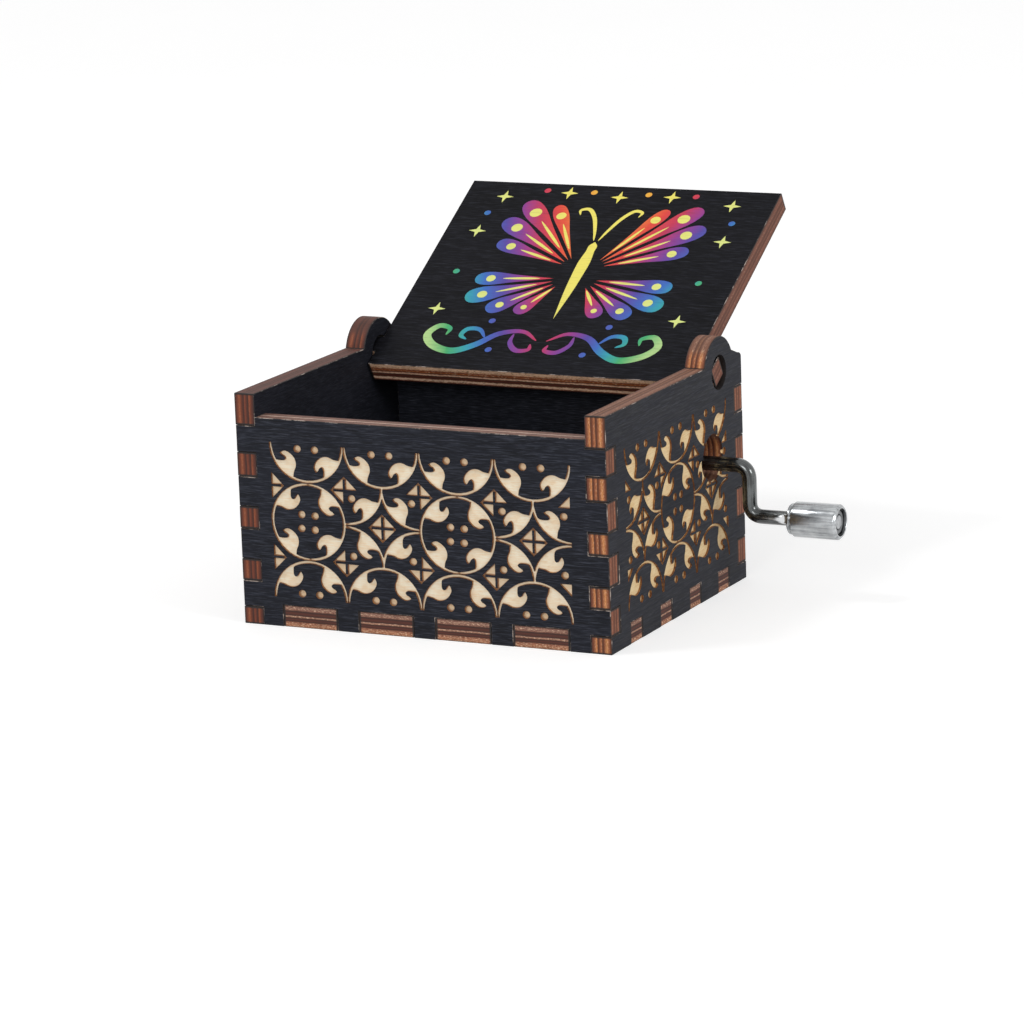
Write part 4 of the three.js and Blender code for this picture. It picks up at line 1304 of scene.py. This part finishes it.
# The knob: turned and nickel-plated, with a coned neck, a collar, a plain barrel and
# a recess that hides the wire's peened end and its washer.
handle = on_handle(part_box("crank_knob")[0].x / mm)
knob_profile = [(1.325, 0), (1.75, 0), (2.5, 0.35), (2.5, 0.75), (2.4, 0.82), (2.4, 0.92)]
knob_profile += [(2.85, 1.15), (2.85, 8.4), (2.5, 8.75), (2.2, 8.75), (2.2, 7.85), (1.325, 7.85)]
washer_profile = [(1.275, 8.0), (1.85, 8.0), (1.85, 8.3), (1.275, 8.3)]
knob_sides = 96
recess_reach = 2.25
recess_from = 7.75
recess_to = 8.7


# Corners in the recess take a darker colour: painted shade inside the recess.
def is_recessed(spot):
    """Whether a corner of the knob lies in the recess at its end."""
    along, *across = spot - handle
    return recess_from < along < recess_to and math.hypot(*across) < recess_reach


# Its lengthwise dark and light streaks are partly polish marks and partly painted reflection.
nickel = metal(
    "bright nickel",
    "6c6f72",
    "c6c9cb",
    (0.12, 2.6, 2.6),
    0.16,
    depth=0.006,
    coat=0.5,
    spot="8c8e90",
)
# The washer deep in the recess is painted darker: painted shade.
shaded_washer_steel = metal("oiled washer steel", "77797b", "8c8e90", (3.0, 3.0, 3.0), 0.3)
knob = solid("turned_knob", [turned(knob_profile, handle, along_x, knob_sides)], nickel)
mark_spots(knob, is_recessed)
stand_for(knob, "knob", "bright_nickel", "crank_knob")
washer = solid("washer", [turned(washer_profile, handle, along_x, knob_sides)], shaded_washer_steel)
stand_for(washer, "crank", "bright_nickel", "knob_washer")

# The camera: a long lens some 76 centimetres away and a little above the box, with its
# place, aim and roll fitted to the corners of the box in the photograph.
target = Vector((0, 0, 18))
camera_distance = 760.59
camera_azimuth = math.radians(26.598)
camera_elevation = math.radians(12.763)
camera_roll = math.radians(-2.123)
aim_right = 2.756
aim_up = -3.486
focal_length = 168.01
away = Vector(
    (
        math.sin(camera_azimuth) * math.cos(camera_elevation),
        -math.cos(camera_azimuth) * math.cos(camera_elevation),
        math.sin(camera_elevation),
    )
)
level = Vector((math.cos(camera_azimuth), math.sin(camera_azimuth), 0))
upright = away.cross(level)
right_hand = level * math.cos(camera_roll) + upright * math.sin(camera_roll)
overhead = upright * math.cos(camera_roll) - level * math.sin(camera_roll)
eye = target + away * camera_distance
aim = target + right_hand * aim_right + overhead * aim_up
behind = (eye - aim).normalized()
rightward = overhead.cross(behind).normalized()
view = Matrix((rightward, behind.cross(rightward), behind)).transposed().to_4x4()
lens = bpy.data.cameras.new("camera")
lens.sensor_width = 36
lens.lens = focal_length
camera = bpy.data.objects.new("camera", lens)
bpy.context.scene.collection.objects.link(camera)
camera.matrix_world = Matrix.Translation(eye * mm) @ view
bpy.context.scene.camera = camera

# The studio: a plain white floor, soft white all round and three large lamps. What the
# camera and the metal see of the floor and the surroundings is whiter than their light.
floor_reach = 4.0
ambient = 0.55
seen_by = ("Camera", "Glossy", "Transmission")
lit_place = Vector((0, 0, 0.02))
lamps = [("lamp high on the left", (-0.5, -0.4, 0.95), 0.22, 2.2)]
lamps += [("lamp on the right", (0.95, -0.25, 0.4), 0.3, 2.6)]
lamps += [("lamp in front", (0.1, -1.05, 0.4), 0.4, 2.3)]


def lamp(name, place, size, power):
    light = bpy.data.lights.new(name, "AREA")
    light.shape = "DISK"
    light.size = size
    light.energy = power
    holder = bpy.data.objects.new(name, light)
    bpy.context.scene.collection.objects.link(holder)
    holder.location = place
    aim_way = lit_place - Vector(place)
    holder.rotation_euler = aim_way.to_track_quat("-Z", "Y").to_euler()


def seen_only(flow):
    """1 for what the camera, metal and clear parts see, 0 for what lights the object."""
    rays = [flow.node("ShaderNodeLightPath", {}, {}, f"Is {kind} Ray") for kind in seen_by]
    return flow.maths("MAXIMUM", rays[0].maths("MAXIMUM", rays[0], rays[1]), rays[2])


floor_mesh = bpy.data.meshes.new("floor")
corners = [(-1, -1), (1, -1), (1, 1), (-1, 1)]
floor_mesh.from_pydata([(x * floor_reach, y * floor_reach, 0) for x, y in corners], [], [(0, 1, 2, 3)])
floor = bpy.data.objects.new("floor", floor_mesh)
bpy.context.scene.collection.objects.link(floor)
floor_finish, floor_place, floor_surface = new_finish("white floor")
soft_spot = floor_place.stretched(0.01, 0.01, 0.01).noise()
connect(floor_surface, Base_Color=soft_spot.blend(shade("c8c8c8"), shade("cccccc")), Roughness=0.9)
connect(floor_surface, Emission_Color=seen_only(floor_place).blend((0, 0, 0, 1), shade("c6c6c6")))
connect(floor_surface, Emission_Strength=1.0)
floor_mesh.materials.append(floor_finish)
for name, place, size, power in lamps:
    lamp(name, place, size, power)
world = bpy.data.worlds.new("soft white")
world.use_nodes = True
bpy.context.scene.world = world
glow = seen_only(Flow(world.node_tree)).blend((ambient, ambient, ambient, 1), (1, 1, 1, 1))
world.node_tree.links.new(glow.socket, world.node_tree.nodes["Background"].inputs["Color"])
bpy.context.scene.view_settings.view_transform = "Standard"
